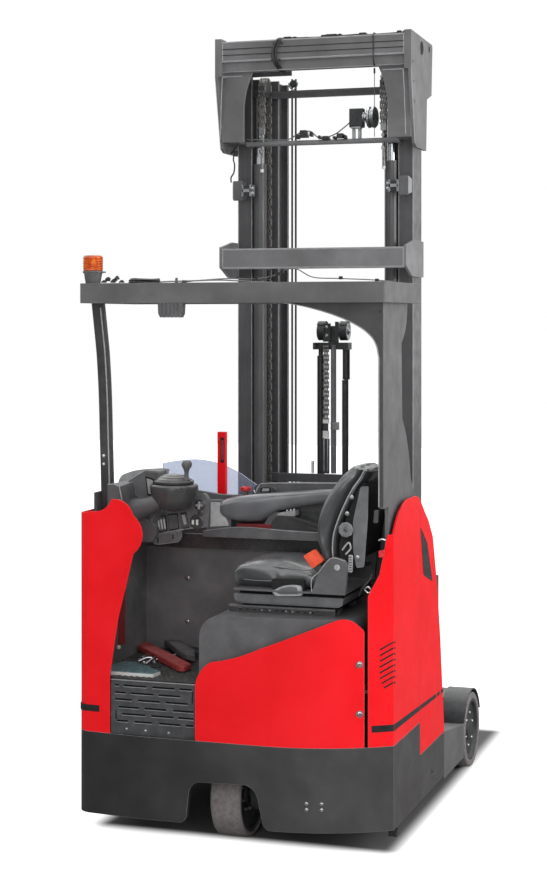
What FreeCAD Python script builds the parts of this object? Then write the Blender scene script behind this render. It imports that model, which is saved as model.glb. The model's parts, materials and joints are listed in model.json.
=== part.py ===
import FreeCAD, Part

import math
import os

import Sketcher

# Seated reach truck. Millimetres, X to the truck's right, Y forward to the fork tips, Z up, floor at 0.
# Places along the truck are counted from its rearmost face and written back(distance).

doc = FreeCAD.newDocument("ReachTruck")
sheet = doc.addObject("Spreadsheet::Sheet", "dims")

driving = {
    # whole truck
    "truckWide": 1270, "guardHigh": 2215, "mastHigh": 3352, "wheelBase": 1370, "driveAxleBack": 247,
    # painted steel base
    "skirtLow": 100, "skirtHigh": 425, "skirtWall": 25, "flatStart": 345, "sweepStart": 150,
    "sweepRadius": 800,
    "leftCornerBack": 60, "leftCornerIn": 585, "leftCornerDrop": 20, "archLeft": 158, "archRight": 153,
    "archHigh": 270,
    "archRound": 48, "sillHigh": 290, "seamBack": 590, "frontWallBack": 1035, "plateThick": 15,
    "floorHigh": 640, "wallBack": 690,
    # support arms and load wheels
    "armLow": 85, "armHigh": 236, "armInner": 470, "armPlate": 40, "armEndBack": 1790,
    "loadWheelRadius": 171.5, "loadWheelWide": 105, "axleRadius": 25, "runGap": 0.3,
    "reachSlotLow": 120, "reachSlotHigh": 200, "reachSlotDeep": 30,
    # drive unit
    "driveX": -27, "driveWheelRadius": 172, "driveWheelWide": 128, "bearingRadius": 125,
    "motorRadius": 95, "motorTop": 600, "drivePlateLow": 372, "drivePlateThick": 20,
    # painted covers
    "coverThick": 8, "lobeTop": 1356, "coverLow": 425, "stepLeft": 490,
    "panelLeft": 122, "panelRight": 541, "cornerPanelEdge": 547,
    # battery
    "batteryWide": 1180, "batteryDeep": 285, "batteryLow": 215, "batteryHigh": 750,
    # seat
    "seatNear": 130, "seatWide": 410, "seatPivotX": 430, "seatPivotZ": 1075,
    # mast
    "mastRear": 1345, "railDeep": 160, "railFlange": 16, "railWeb": 16, "stageStep": 55,
    "outerRailX": 420, "outerLegX": 352, "middleOutX": 398, "middleWebX": 346, "middleWeb": 14,
    "middleInX": 300, "innerOutX": 326, "innerWebX": 294, "innerWeb": 12, "innerInX": 258,
    "railTop": 3200, "railBottom": 113, "liftX": 316, "liftBarrelRadius": 30, "liftRodRadius": 20,
    "freeLiftX": 62, "freeLiftRadius": 17, "freeLiftTop": 1900,
    # fork carriage
    "carriageLow": 95, "carriageHigh": 520, "faceAhead": 415, "forkLong": 1150, "forkWide": 120,
    "forkThick": 40, "forkGap": 280, "forkLow": 35,
}


class Size:
    """A number kept together with the sheet expression that gives it."""

    def __init__(self, value, text):
        self.value = float(value)
        self.text = text

    def __add__(self, other):
        return Size(self.value + number(other), f"({self.text} + {formula(other)})")

    def __sub__(self, other):
        return Size(self.value - number(other), f"({self.text} - {formula(other)})")

    def __mul__(self, other):
        return Size(self.value * number(other), f"({self.text} * {formula(other)})")

    def __truediv__(self, other):
        return Size(self.value / number(other), f"({self.text} / {formula(other)})")

    def __neg__(self):
        return Size(-self.value, f"(0 - {self.text})")

    def __radd__(self, other):
        return Size(number(other) + self.value, f"({formula(other)} + {self.text})")

    def __rsub__(self, other):
        return Size(number(other) - self.value, f"({formula(other)} - {self.text})")


def number(value):
    return value.value if isinstance(value, Size) else float(value)


def formula(value):
    return value.text if isinstance(value, Size) else f"{float(value):.6g}"


def root(size):
    return Size(math.sqrt(size.value), f"sqrt({size.text})")


class Dimensions:
    """The driving dimensions as Size values, one attribute for each row of the sheet."""


d = Dimensions()
for row, (word, value) in enumerate(driving.items(), start=1):
    sheet.set(f"A{row}", word)
    sheet.set(f"B{row}", str(value))
    sheet.setAlias(f"B{row}", word)
    setattr(d, word, Size(value, f"dims.{word}"))
doc.recompute()

rear = (d.mastRear + d.faceAhead + d.forkLong) * -0.5


def back(distance):
    """Y of a place that lies this far forward of the truck's rearmost face."""
    return rear + distance


# ---------------------------------------------------------------- building blocks

nodes = []


def bind(thing, prop, size):
    """Ties one property to the sheet, or leaves it at a plain number."""
    if isinstance(size, Size):
        thing.setExpression(prop, size.text)


def place(thing, x=0, y=0, z=0):
    thing.Placement = FreeCAD.Placement(FreeCAD.Vector(number(x), number(y), number(z)),
                                        thing.Placement.Rotation)
    for axis, size in zip("xyz", (x, y, z)):
        bind(thing, f".Placement.Base.{axis}", size)


def box(name, low, high):
    """Block between two corners."""
    block = doc.addObject("Part::Box", name)
    for prop, start, end in zip(("Length", "Width", "Height"), low, high):
        setattr(block, prop, number(end) - number(start))
        bind(block, prop, end - start if isinstance(end, Size) or isinstance(start, Size) else None)
    place(block, *low)
    return block


turns = {"z": FreeCAD.Rotation(), "x": FreeCAD.Rotation(FreeCAD.Vector(0, 1, 0), 90),
         "y": FreeCAD.Rotation(FreeCAD.Vector(1, 0, 0), -90)}


def rod(name, start, length, radius, axis="z"):
    """Round bar that starts at a point and runs along one axis."""
    bar = doc.addObject("Part::Cylinder", name)
    bar.Radius = number(radius)
    bar.Height = number(length)
    bind(bar, "Radius", radius)
    bind(bar, "Height", length)
    bar.Placement = FreeCAD.Placement(FreeCAD.Vector(), turns[axis])
    place(bar, *start)
    return bar


def join(name, things):
    union = doc.addObject("Part::MultiFuse", name)
    union.Shapes = things
    union.Refine = True
    return union


def group(name, things):
    """Solids of one node that don't touch."""
    bundle = doc.addObject("Part::Compound", name)
    bundle.Links = things
    return bundle


def carve(name, base, tools):
    cut = doc.addObject("Part::Cut", name)
    cut.Base = base
    cut.Tool = tools[0] if len(tools) == 1 else join(name + "Tools", tools)
    return cut


def common(name, things):
    shared = doc.addObject("Part::MultiCommon", name)
    shared.Shapes = things
    return shared


def mirror(name, thing):
    """The same piece on the other side of the truck."""
    twin = doc.addObject("Part::Mirroring", name)
    twin.Source = thing
    twin.Normal = FreeCAD.Vector(1, 0, 0)
    return twin


def node(thing, label):
    """Names a finished sub-part and puts it on the list that is written out."""
    thing.Label = label
    nodes.append(thing)
    return thing


def splitLoop(loop):
    """Corners and the edges that leave them: None for a straight edge, or the radius of an arc."""
    corners, edges = [], []
    for item in loop:
        if item[0] == "arc":
            edges[-1] = item[1]
        else:
            corners.append(item)
            edges.append(None)
    return corners, edges


def arcBetween(start, end, radius):
    """Circle arc from start to end. A positive radius turns left, a negative one right."""
    chord = end - start
    half = chord.Length / 2
    reach = math.sqrt(max(radius * radius - half * half, 0))
    left = FreeCAD.Vector(-chord.y, chord.x, 0).normalize()
    centre = start + chord * 0.5 + left * (reach if radius > 0 else -reach)
    circle = Part.Circle(centre, FreeCAD.Vector(0, 0, 1), abs(radius))
    first, last = (start, end) if radius > 0 else (end, start)
    return Part.ArcOfCircle(circle, circle.parameter(first), circle.parameter(last))


def drawLoop(sketch, loop):
    """Closed outline. A corner is (u, v) or (u, v, round); ("arc", radius) bends the edge after it."""
    corners, edges = splitLoop(loop)
    count = len(corners)
    points = [FreeCAD.Vector(number(c[0]), number(c[1]), 0) for c in corners]
    rounds = [c[2] if len(c) > 2 else None for c in corners]
    starts, ends = list(points), list(points)
    for index in range(count):
        if rounds[index] is None:
            continue
        before = (points[index - 1] - points[index]).normalize()
        after = (points[(index + 1) % count] - points[index]).normalize()
        setback = number(rounds[index]) / math.tan(before.getAngle(after) / 2)
        ends[index] = points[index] + before * setback
        starts[index] = points[index] + after * setback
    edgeIds, leaving, arriving = [], [], []
    for index in range(count):
        target = (index + 1) % count
        if edges[index] is None:
            edgeIds.append(sketch.addGeometry(Part.LineSegment(starts[index], ends[target]), False))
            flip = False
        else:
            radius = number(edges[index])
            edgeIds.append(sketch.addGeometry(arcBetween(starts[index], ends[target], radius), False))
            flip = radius < 0
        leaving.append((edgeIds[-1], 2 if flip else 1))
        arriving.append((edgeIds[-1], 1 if flip else 2))
    rules = []
    bound = []

    def rule(kind, *values, size=None):
        rules.append(Sketcher.Constraint(kind, *values))
        if isinstance(size, Size):
            bound.append((len(rules) - 1, size))

    for index in range(count):
        into = arriving[index - 1]
        out = leaving[index]
        u, v = corners[index][0], corners[index][1]
        if rounds[index] is None:
            rule("Coincident", *into, *out)
            corner = out
        else:
            turnLeft = (points[index] - points[index - 1]).cross(points[(index + 1) % count] - points[index]).z > 0
            radius = number(rounds[index]) * (1 if turnLeft else -1)
            arcId = sketch.addGeometry(arcBetween(ends[index], starts[index], radius), False)
            first, last = (1, 2) if turnLeft else (2, 1)
            rule("Tangent", *into, arcId, first)
            rule("Tangent", arcId, last, *out)
            rule("Radius", arcId, abs(radius), size=rounds[index])
            pointId = sketch.addGeometry(Part.Point(points[index]), True)
            rule("PointOnObject", pointId, 1, into[0])
            rule("PointOnObject", pointId, 1, out[0])
            corner = (pointId, 1)
        rule("DistanceX", -1, 1, *corner, number(u), size=u)
        rule("DistanceY", -1, 1, *corner, number(v), size=v)
        if edges[index] is not None:
            sized = -edges[index] if isinstance(edges[index], Size) and number(edges[index]) < 0 else edges[index]
            rule("Radius", edgeIds[index], abs(number(edges[index])), size=sized)
    offset = sketch.ConstraintCount
    sketch.addConstraint(rules)
    for index, size in bound:
        sketch.setExpression(f"Constraints[{offset + index}]", size.text)


def prism(name, plane, start, depth, *loops):
    """Outline on one of the body's own planes, padded along the plane's axis from start."""
    body = doc.addObject("PartDesign::Body", name)
    sketch = body.newObject("Sketcher::SketchObject", name + "Outline")
    flat = [f for f in body.Origin.OriginFeatures if f.Role == plane + "_Plane"][0]
    sketch.AttachmentSupport = [(flat, "")]
    sketch.MapMode = "FlatFace"
    for loop in loops:
        drawLoop(sketch, loop)
    pad = body.newObject("PartDesign::Pad", name + "Pad")
    pad.Profile = sketch
    pad.Length = number(depth)
    bind(pad, "Length", depth)
    pad.Reversed = plane == "XZ"
    body.Tip = pad
    axis = {"XY": "z", "XZ": "y", "YZ": "x"}[plane]
    place(body, **{axis: start})
    return body


# ---------------------------------------------------------------- painted steel base

half = d.truckWide / 2
skirtTall = d.skirtHigh - d.skirtLow


def sweepBack(x, inset):
    """How far forward the swept right part of the rear face lies at x."""
    radius = d.sweepRadius - inset
    return d.sweepRadius - root(radius * radius - (x - d.sweepStart) * (x - d.sweepStart))


def bodyPlan(inset, frontBack):
    """Plan of the truck's rear: tight left corner, flat middle, right part swept forward to an edge."""
    side = half - inset
    return [(-side, back(frontBack)), (-side, back(d.leftCornerBack)), ("arc", 70),
            (-d.leftCornerIn + inset * 0.3, back(d.leftCornerDrop + inset)), (-d.flatStart, back(inset)),
            (d.sweepStart, back(inset)), ("arc", d.sweepRadius - inset),
            (side, back(sweepBack(side, inset))), (side, back(frontBack))]


skirtBlock = prism("skirtBlock", "XY", d.skirtLow, skirtTall, bodyPlan(0, d.frontWallBack))
skirtHollow = prism("skirtHollow", "XY", d.skirtLow - 1, skirtTall + 2,
                    bodyPlan(d.skirtWall, d.frontWallBack + 1))
arch = prism("arch", "XZ", back(-1), d.skirtWall + 10, [
    (-d.archLeft - 30, d.skirtLow - 1), (d.archRight + 36, d.skirtLow - 1), ("arc", -38),
    (d.archRight, d.skirtLow + 38), (d.archRight - 30, d.archHigh, d.archRound + 14),
    (-d.archLeft + 14, d.archHigh - 6, d.archRound), (-d.archLeft, d.skirtLow + 38), ("arc", -36)])
sillStep = box("sillStep", (-half - 1, back(d.seamBack), d.sillHigh),
    (half + 1, back(d.frontWallBack + 1), d.skirtHigh + 1))
jackHole = rod("jackHole", (half - d.skirtWall - 1, back(804), 170), d.skirtWall + 2, 10, "x")
node(carve("skirt", skirtBlock, [skirtHollow, arch, sillStep, jackHole]), "rear_skirt")

innerHalf = half - d.skirtWall
trayLow = d.batteryLow - d.plateThick
reachTubeX, reachTubeZ, reachTubeRadius = 0, 150, 32
tray = box("tray", (-innerHalf, back(d.wallBack), trayLow), (innerHalf, back(d.frontWallBack), d.batteryLow))
frontWall = box("frontWall", (-innerHalf, back(d.frontWallBack - d.plateThick), d.skirtLow),
                (innerHalf, back(d.frontWallBack), d.batteryLow + d.batteryHigh))
rearWall = box("rearWall", (-innerHalf, back(d.wallBack), d.skirtLow),
               (innerHalf, back(d.wallBack + d.plateThick), d.batteryLow + d.batteryHigh))
deckPlate = prism("deckPlate", "XY", d.drivePlateLow, d.drivePlateThick, bodyPlan(d.skirtWall, d.wallBack))
bearingHole = rod("bearingHole", (d.driveX, back(d.driveAxleBack), d.drivePlateLow - 1),
                  d.drivePlateThick + 2, d.bearingRadius)
wallHole = rod("wallHole", (reachTubeX, back(d.wallBack - 1), reachTubeZ),
               d.frontWallBack - d.wallBack + 2, reachTubeRadius + d.runGap, "y")
node(carve("chassisPlates", join("plates", [tray, frontWall, rearWall, deckPlate]),
           [bearingHole, wallHole]), "chassis_plates")

reachTube = rod("reachTube", (reachTubeX, back(440), reachTubeZ), 580, reachTubeRadius, "y")
reachBore = rod("reachBore", (reachTubeX, back(450), reachTubeZ), 575, 19, "y")
node(carve("reachCylinder", reachTube, [reachBore]), "reach_cylinder")

node(box("battery", (-d.batteryWide / 2, back(d.wallBack + d.plateThick + 12), d.batteryLow),
         (d.batteryWide / 2, back(d.wallBack + d.plateThick + 12 + d.batteryDeep),
         d.batteryLow + d.batteryHigh)),
     "battery")

# ---------------------------------------------------------------- support arms and load wheels

loadAxleBack = d.driveAxleBack + d.wheelBase
wheelBayBack = loadAxleBack - d.loadWheelRadius - 16
wheelInner = half - d.loadWheelWide
armProfile = [(back(d.frontWallBack), d.armLow), (back(d.armEndBack), d.armLow, 30),
              (back(d.armEndBack), d.armHigh, 60), (back(wheelBayBack), d.armHigh),
              (back(d.frontWallBack), d.sillHigh)]
armPlate = prism("armPlate", "YZ", d.armInner, d.armPlate, armProfile)
armBlock = prism("armBlock", "YZ", d.armInner, half - d.armInner, [
    (back(d.frontWallBack), d.armLow), (back(wheelBayBack), d.armLow),
    (back(wheelBayBack), d.armHigh), (back(d.frontWallBack), d.sillHigh)])
reachSlot = box("reachSlot", (d.armInner - 1, back(d.frontWallBack + 12), d.reachSlotLow),
                (d.armInner + d.reachSlotDeep, back(d.armEndBack - 5), d.reachSlotHigh))
loadAxle = rod("loadAxle", (d.armInner + d.reachSlotDeep, back(loadAxleBack), d.loadWheelRadius),
               half - d.armInner - d.reachSlotDeep - 12, d.axleRadius, "x")
rightArm = carve("rightArm", join("rightArmSolid", [armPlate, armBlock]), [reachSlot])
rightArmWhole = join("rightArmWhole", [rightArm, loadAxle])
node(rightArmWhole, "support_arm_right")
node(mirror("leftArm", rightArmWhole), "support_arm_left")

wheelDisc = rod("wheelDisc", (wheelInner, back(loadAxleBack), d.loadWheelRadius), d.loadWheelWide,
                d.loadWheelRadius, "x")
wheelBore = rod("wheelBore", (wheelInner - 1, back(loadAxleBack), d.loadWheelRadius), d.loadWheelWide + 2,
                d.axleRadius + d.runGap, "x")
rightLoadWheel = carve("rightLoadWheel", wheelDisc, [wheelBore])
node(rightLoadWheel, "load_wheel_right")
node(mirror("leftLoadWheel", rightLoadWheel), "load_wheel_left")

fenderInner = d.loadWheelRadius + 10
fenderOuter = fenderInner + 6
fenderRing = rod("fenderRing", (wheelInner - 10, back(loadAxleBack), d.loadWheelRadius),
                 d.loadWheelWide + 10, fenderOuter, "x")
fenderHollow = rod("fenderHollow", (wheelInner - 11, back(loadAxleBack), d.loadWheelRadius),
                   d.loadWheelWide + 12, fenderInner, "x")
fenderCut = box("fenderCut", (wheelInner - 11, back(loadAxleBack - fenderOuter - 1), -20),
                (half + 1, back(loadAxleBack + fenderOuter + 1), d.armHigh))
fenderSide = box("fenderSide", (d.armInner + 2, back(wheelBayBack), d.armHigh),
                 (wheelInner - 5, back(loadAxleBack + d.loadWheelRadius * 0.55), d.armHigh + 100))
rightFender = join("rightFender", [carve("fenderShell", fenderRing, [fenderHollow, fenderCut]), fenderSide])
node(rightFender, "wheel_fender_right")
node(mirror("leftFender", rightFender), "wheel_fender_left")

# ---------------------------------------------------------------- drive unit

axisBack = back(d.driveAxleBack)
plateUnder = d.drivePlateLow - d.runGap
turntable = rod("turntable", (d.driveX, axisBack, plateUnder - 20), 20, d.bearingRadius + 15)
bearingHub = rod("bearingHub", (d.driveX, axisBack, plateUnder - 20), d.drivePlateThick + 20,
                 d.bearingRadius - d.runGap)
motor = rod("motor", (d.driveX, axisBack, d.drivePlateLow), d.motorTop - d.drivePlateLow, d.motorRadius)
gearInner = d.driveX + d.driveWheelWide / 2 + 6
gearCase = prism("gearCase", "YZ", gearInner, 52, [
    (axisBack - 55, 110, 40), (axisBack + 55, 110, 40), (axisBack + 75, plateUnder - 10),
    (axisBack - 75, plateUnder - 10)])
driveAxle = rod("driveAxle", (d.driveX - d.driveWheelWide / 2, axisBack, d.driveWheelRadius),
                d.driveWheelWide + 10, d.axleRadius, "x")
node(join("driveUnit", [turntable, bearingHub, motor, gearCase, driveAxle]), "drive_unit")

driveTyre = rod("driveTyre", (d.driveX - d.driveWheelWide / 2, axisBack, d.driveWheelRadius),
                d.driveWheelWide, d.driveWheelRadius, "x")
driveBore = rod("driveBore", (d.driveX - d.driveWheelWide / 2 - 1, axisBack, d.driveWheelRadius),
                d.driveWheelWide + 2, d.axleRadius + d.runGap, "x")
node(carve("driveWheel", driveTyre, [driveBore]), "drive_wheel")

# ---------------------------------------------------------------- painted covers

coverTall = d.lobeTop - d.coverLow


def coverShell(name, frontBack):
    """Thin shell that follows the rear plan, as tall as the covers."""
    block = prism(name + "Block", "XY", d.coverLow, coverTall, bodyPlan(0, frontBack))
    hollow = prism(name + "Hollow", "XY", d.coverLow - 1, coverTall + 2,
        bodyPlan(d.coverThick, frontBack + 1))
    return carve(name + "Shell", block, [hollow])


rearFace, sideReach = back(-1), d.seamBack + 2
leftShape = prism("leftShape", "XZ", rearFace, sideReach, [
    (-half - 1, d.coverLow), (-d.stepLeft, d.coverLow), (-d.stepLeft, 659), (-454, 882),
    (-416, 1025), (-386, 1144), ("arc", 90), (-387, 1294), ("arc", 85), (-482, d.lobeTop),
    ("arc", -80), (-549, 1305), (-half - 1, 1296)])
leftCover = common("leftCover", [coverShell("leftCoverPlan", d.seamBack), leftShape])
node(leftCover, "left_column_cover")

rightRear = prism("rightRear", "XZ", rearFace, sideReach, [
    (d.cornerPanelEdge, d.coverLow), (half + 1, d.coverLow), (half + 1, d.lobeTop + 1),
    (half - 5, d.lobeTop + 1),
    (half - 6, 1332), (618, 1263), (606, 1201), (586, 1087), (d.cornerPanelEdge, 1006)])
rightSide = prism("rightSide", "YZ", d.panelRight - 30, half - d.panelRight + 31, [
    (back(-1), d.coverLow), (back(d.seamBack), d.coverLow), (back(d.seamBack), 1337), ("arc", 330),
    (back(430), d.lobeTop), ("arc", 300), (back(165), 1240), (back(-1), 1240)])
node(common("rightCover", [coverShell("rightCoverPlan", d.seamBack), rightRear, rightSide]),
    "right_corner_cover")

doorGap = 4
doorShape = [(back(d.seamBack + doorGap), d.sillHigh + d.runGap),
    (back(d.frontWallBack), d.sillHigh + d.runGap),
             (back(960), 709), (back(899), 947), (back(820), 1157), (back(742), 1233), (back(684), 1270),
             (back(d.seamBack + doorGap), 1334)]
rightDoor = prism("rightDoor", "YZ", half - d.coverThick, d.coverThick, doorShape)
node(rightDoor, "battery_door_right")
node(mirror("leftDoor", rightDoor), "battery_door_left")

panelShape = prism("panelShape", "XZ", rearFace, 100, [
    (-d.panelLeft, d.coverLow + d.runGap), (d.panelRight, d.coverLow + d.runGap), (d.panelRight, 868, 50),
    (474, 930, 70),
    (138, 796), ("arc", -700), (-60, 735), ("arc", 130), (-d.panelLeft, 640)])
node(common("centrePanel", [coverShell("centrePlan", 170), panelShape]), "centre_panel")

# ---------------------------------------------------------------- step, floor, pedals

stepFace = back(18)
riser = box("riser", (-d.stepLeft + 3, stepFace, d.skirtHigh),
    (-d.panelLeft - 3, stepFace + 6, d.floorHigh - 14))
slotCuts = []
for rowIndex in range(6):
    for columnIndex in range(5):
        slotX = -d.stepLeft + 25 + columnIndex * 70 + (rowIndex % 2) * 24
        slotZ = d.skirtHigh + 38 + rowIndex * 30
        slotCuts.append(box(f"slot{rowIndex}{columnIndex}", (slotX, stepFace - 1, slotZ),
                            (slotX + 42, stepFace + 7, slotZ + 9)))
node(carve("stepRiser", riser, slotCuts), "step_riser")

floorBlock = prism("floorBlock", "XY", d.floorHigh - 12, 12, bodyPlan(d.skirtWall, d.wallBack))
node(floorBlock, "cab_floor")
matLeft, matRight = -innerHalf + 20, -d.panelLeft - 6
mat = prism("mat", "XY", d.floorHigh, 6, [
    (-d.stepLeft + 4, stepFace + 10), (matRight, stepFace + 10), (matRight, back(d.wallBack - 12)),
    (matLeft, back(d.wallBack - 12)), (matLeft, back(d.leftCornerBack + 60))])
node(mat, "floor_mat")

matTop = d.floorHigh + 6
pedalBlocks = []
for name, lowX, lowY, highX, highY, rise in (("deadman", -585, 150, -395, 250, 14),
                                              ("brake", -520, 330, -300, 430, 60),
                                              ("speed", -470, 520, -300, 620, 60)):
    pad = prism(name, "XZ", back(lowY), highY - lowY, [
        (lowX, matTop), (highX, matTop), (highX, matTop + 8), (lowX, matTop + rise)])
    pedalBlocks.append(pad)
node(group("pedals", pedalBlocks), "pedals")

# ---------------------------------------------------------------- compartment walls, dash, deck

wallFace = back(d.wallBack - 12)
innerWall = box("innerWall", (-innerHalf, wallFace, d.floorHigh), (innerHalf, back(d.wallBack), 1085))
deckLow = d.batteryLow + d.batteryHigh
deck = prism("deck", "YZ", -innerHalf + 10, innerHalf * 2 - 20, [
    (back(d.wallBack), 1085), (back(d.wallBack + 12), deckLow), (back(d.frontWallBack - 30), deckLow),
    (back(890), 1180, 40), (back(800), 1262, 30), (back(d.wallBack - 30), 1262),
    (back(d.wallBack - 30), 1085)])
node(deck, "battery_hood")

leftWall = box("leftWall", (-innerHalf - 8, back(207), d.floorHigh), (-innerHalf + 4, wallFace, 1150))
node(join("cabWalls", [innerWall, leftWall]), "cab_walls")
dashNear = 147
dashBlock = prism("dashBlock", "XZ", back(dashNear), d.wallBack - 30 - dashNear, [
    (-half + 12, 1150), (-470, 1150, 40), (-420, 1260), (-415, 1360, 30), (-470, 1445, 40),
    (-560, 1430, 30), (-half + 12, 1385)])
pillarBack = 232
pillarBay = box("pillarBay", (-half, back(pillarBack - 32), 1100), (-550, back(pillarBack + 32), 1500))
podX, podY, podLow = -330, back(300), 1285
podBowl = doc.addObject("Part::Cone", "podBowl")
podBowl.Radius1, podBowl.Radius2, podBowl.Height = 55, 95, 80
place(podBowl, podX, podY, podLow)
podTop = rod("podTop", (podX, podY, podLow + 80), 30, 95)
podArm = box("podArm", (-430, back(255), podLow + 5), (podX, back(345), podLow + 75))
switchPlate = prism("switchPlate", "XZ", back(410), 140, [
    (-450, 1180), (-340, 1170, 20), (-265, 1270, 20), (-275, 1345, 20), (-450, 1330)])
dash = carve("dash", join("dashSolid", [dashBlock, switchPlate]), [pillarBay])
node(dash, "dashboard")
node(carve("steeringPod", join("podSolid", [podBowl, podTop, podArm]), [dash]), "steering_pod")
steerDisc = rod("steerDisc", (podX, podY, podLow + 110.3), 16, 88)
steerKnob = rod("steerKnob", (podX + 20, podY - 52, podLow + 126), 46, 17)
node(join("steeringWheel", [steerDisc, steerKnob]), "steering_wheel")

screen = prism("screen", "XZ", back(d.wallBack + 60), 6, [
    (-560, 1262), (20, 1262), (-40, 1305), (-160, 1380), ("arc", 420), (-413, 1461), ("arc", 900),
    (-560, 1440)])
node(screen, "windscreen")
node(box("redPost", (-290, back(d.wallBack + 20), 1262), (-254, back(d.wallBack + 44), 1585)), "control_post")
consoleLow = 1085
consoleBack = 572
console = prism("console", "XZ", back(consoleBack), d.wallBack - 30 - consoleBack, [
    (-170, 1222, 20), (-60, 1212), (20, 1245), (60, consoleLow), (240, consoleLow), (240, 1240),
    (400, 1262), (400, 1350, 20),
    (-180, 1338, 30), (-247, 1290, 25)])
node(console, "armrest_console")

# ---------------------------------------------------------------- seat

seatFar = d.seatNear + d.seatWide
humpFace = prism("humpFace", "XZ", back(0), d.wallBack - 20, [
    (-d.panelLeft + 8, d.floorHigh), (d.cornerPanelEdge - 40, d.floorHigh), (d.cornerPanelEdge - 40, 915, 40),
    (-d.panelLeft + 8, 915, 90)])
humpPlan = prism("humpPlan", "XY", d.floorHigh, 280, bodyPlan(d.coverThick + 14, d.wallBack - 20))
hump = common("hump", [humpFace, humpPlan])
railA = box("railA", (-16, back(d.seatNear + 60), 915), (408, back(d.seatNear + 110), 945))
railB = box("railB", (-16, back(seatFar - 110), 915), (408, back(seatFar - 60), 945))
node(join("seatBase", [hump, railA, railB]), "seat_base")
suspension = prism("suspension", "XZ", back(d.seatNear + 20), d.seatWide - 40, [
    (20, 945.3, 10), (430, 945.3, 10), (437, 1005), (5, 1005)])
node(suspension, "seat_suspension")
panLow = 1005 + d.runGap
panTop = panLow + 6
cushionLow = panTop + d.runGap
cushion = prism("cushion", "XZ", back(d.seatNear), d.seatWide, [
    (-20, cushionLow, 20), (345, cushionLow), (345, 1085, 30), (60, 1120, 40), (-45, 1095, 35)])
node(cushion, "seat_cushion")
pan = box("pan", (0, back(d.seatNear - 26), panLow), (455, back(seatFar + 26), panTop))
brackets = []
for index, near in enumerate((d.seatNear - 26, seatFar + 2)):
    brackets.append(prism(f"bracket{index}", "XZ", back(near), 24, [
        (320, panLow), (455, panLow), (465, 1139, 30), (400, 1152, 30), (348, 1088)]))
seatPin = rod("seatPin", (d.seatPivotX, back(d.seatNear - 26), d.seatPivotZ), d.seatWide + 52, 10, "y")
node(join("seatBrackets", [pan, seatPin] + brackets), "seat_brackets")
backShape = prism("backShape", "XZ", back(d.seatNear + 6), d.seatWide - 12, [
    (352, 1120, 20), (325, 1200), ("arc", -330), (370, 1370), ("arc", -900), (436, 1478), ("arc", 60),
    (508, 1510), (526, 1462), (480, 1300), (462, 1040), (405, 1040)])
backBore = rod("backBore", (d.seatPivotX, back(d.seatNear), d.seatPivotZ), d.seatWide, 10 + d.runGap, "y")
node(carve("seatBack", backShape, [backBore]), "seat_backrest")

# ---------------------------------------------------------------- overhead guard

guardLow = d.guardHigh - 80
roofNear, roofFar, rimWide = 40, 606, 60
roofPlan = [(-half, back(roofFar)), (-half, back(roofNear), 12), (half, back(roofNear), 12),
    (half, back(roofFar))]
roofHole = [(-half + rimWide, back(roofFar - 50)), (-half + rimWide, back(roofNear + 70)),
            (half - rimWide, back(roofNear + 70)), (half - rimWide, back(roofFar - 50))]
roofRim = prism("roofRim", "XY", guardLow, 80, roofPlan, roofHole)
roofBars = []
for index in range(5):
    barBack = 166 + index * 78
    roofBars.append(box(f"roofBar{index}", (-half + rimWide, back(barBack), d.guardHigh - 40),
                        (half - rimWide, back(barBack + 22), d.guardHigh - 8)))
roof = join("roof", [roofRim] + roofBars)
node(roof, "overhead_guard")

columnOut, columnIn, columnNear = half - 23, half - 39, 96
columnSide = prism("columnSide", "YZ", columnIn, columnOut - columnIn, [
    (back(176), d.floorHigh), (back(d.wallBack - 34), d.floorHigh), (back(d.wallBack - 34), 1290, 40),
    (back(525), 1425), ("arc", 420), (back(387), 1675), (back(374), 1977), ("arc", 160),
    (back(468), guardLow),
    (back(columnNear), guardLow), (back(columnNear), 1345), (back(176), 1345)])
columnRear = prism("columnRear", "XZ", back(columnNear), 14, [
    (columnOut, 1345), (columnOut, guardLow), (60, guardLow), ("arc", -1100), (455, 2079),
    ("arc", -150), (columnOut - 36, 1930), (columnOut - 36, 1390), ("arc", -60), (columnOut - 16, 1345)])
node(join("guardColumn", [columnSide, columnRear]), "guard_column_right")

pillarTop = number(back(pillarBack - 77))
pillarMiddle = number(back(pillarBack - 19))
pillarRadius = 24
pillarFootX = number(-innerHalf) + 4 + pillarRadius + 6 * number(d.runGap)
pillarLine = Part.Arc(FreeCAD.Vector(-603, pillarTop, number(guardLow) + 5),
    FreeCAD.Vector(-598, pillarMiddle, 1775),
                      FreeCAD.Vector(pillarFootX, number(back(pillarBack)), 1100)).toShape()
pillarEnd = pillarLine.FirstParameter
pillarRing = Part.Wire(Part.makeCircle(pillarRadius, pillarLine.valueAt(pillarEnd),
    pillarLine.tangentAt(pillarEnd)))
pillarTube = doc.addObject("Part::Feature", "pillarTube")
pillarTube.Shape = Part.Wire(pillarLine).makePipeShell([pillarRing], True, False)
pillar = carve("pillar", pillarTube, [roof])
node(pillar, "guard_pillar_left")

node(box("workLight", (-298, back(40), guardLow - 56), (-192, back(75), guardLow)), "work_light")
beaconBase = rod("beaconBase", (-592, back(100), d.guardHigh), 26, 40)
beaconLens = rod("beaconLens", (-592, back(100), d.guardHigh + 26), 70, 44)
node(join("beacon", [beaconBase, beaconLens]), "beacon")

# ---------------------------------------------------------------- mast

mastFront = d.mastRear + d.railDeep
flange = d.railFlange


def channel(name, rearBack, outward, tip, bottom, top):
    """Rail of C section: a web at the outer side and two flanges that point to the truck's middle."""
    near, far = back(rearBack), back(rearBack + d.railDeep)
    return prism(name, "XY", bottom, top - bottom, [
        (tip, near), (outward, near), (outward, far), (tip, far), (tip, far - flange),
        (outward - d.railWeb, far - flange), (outward - d.railWeb, near + flange), (tip, near + flange)])


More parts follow.
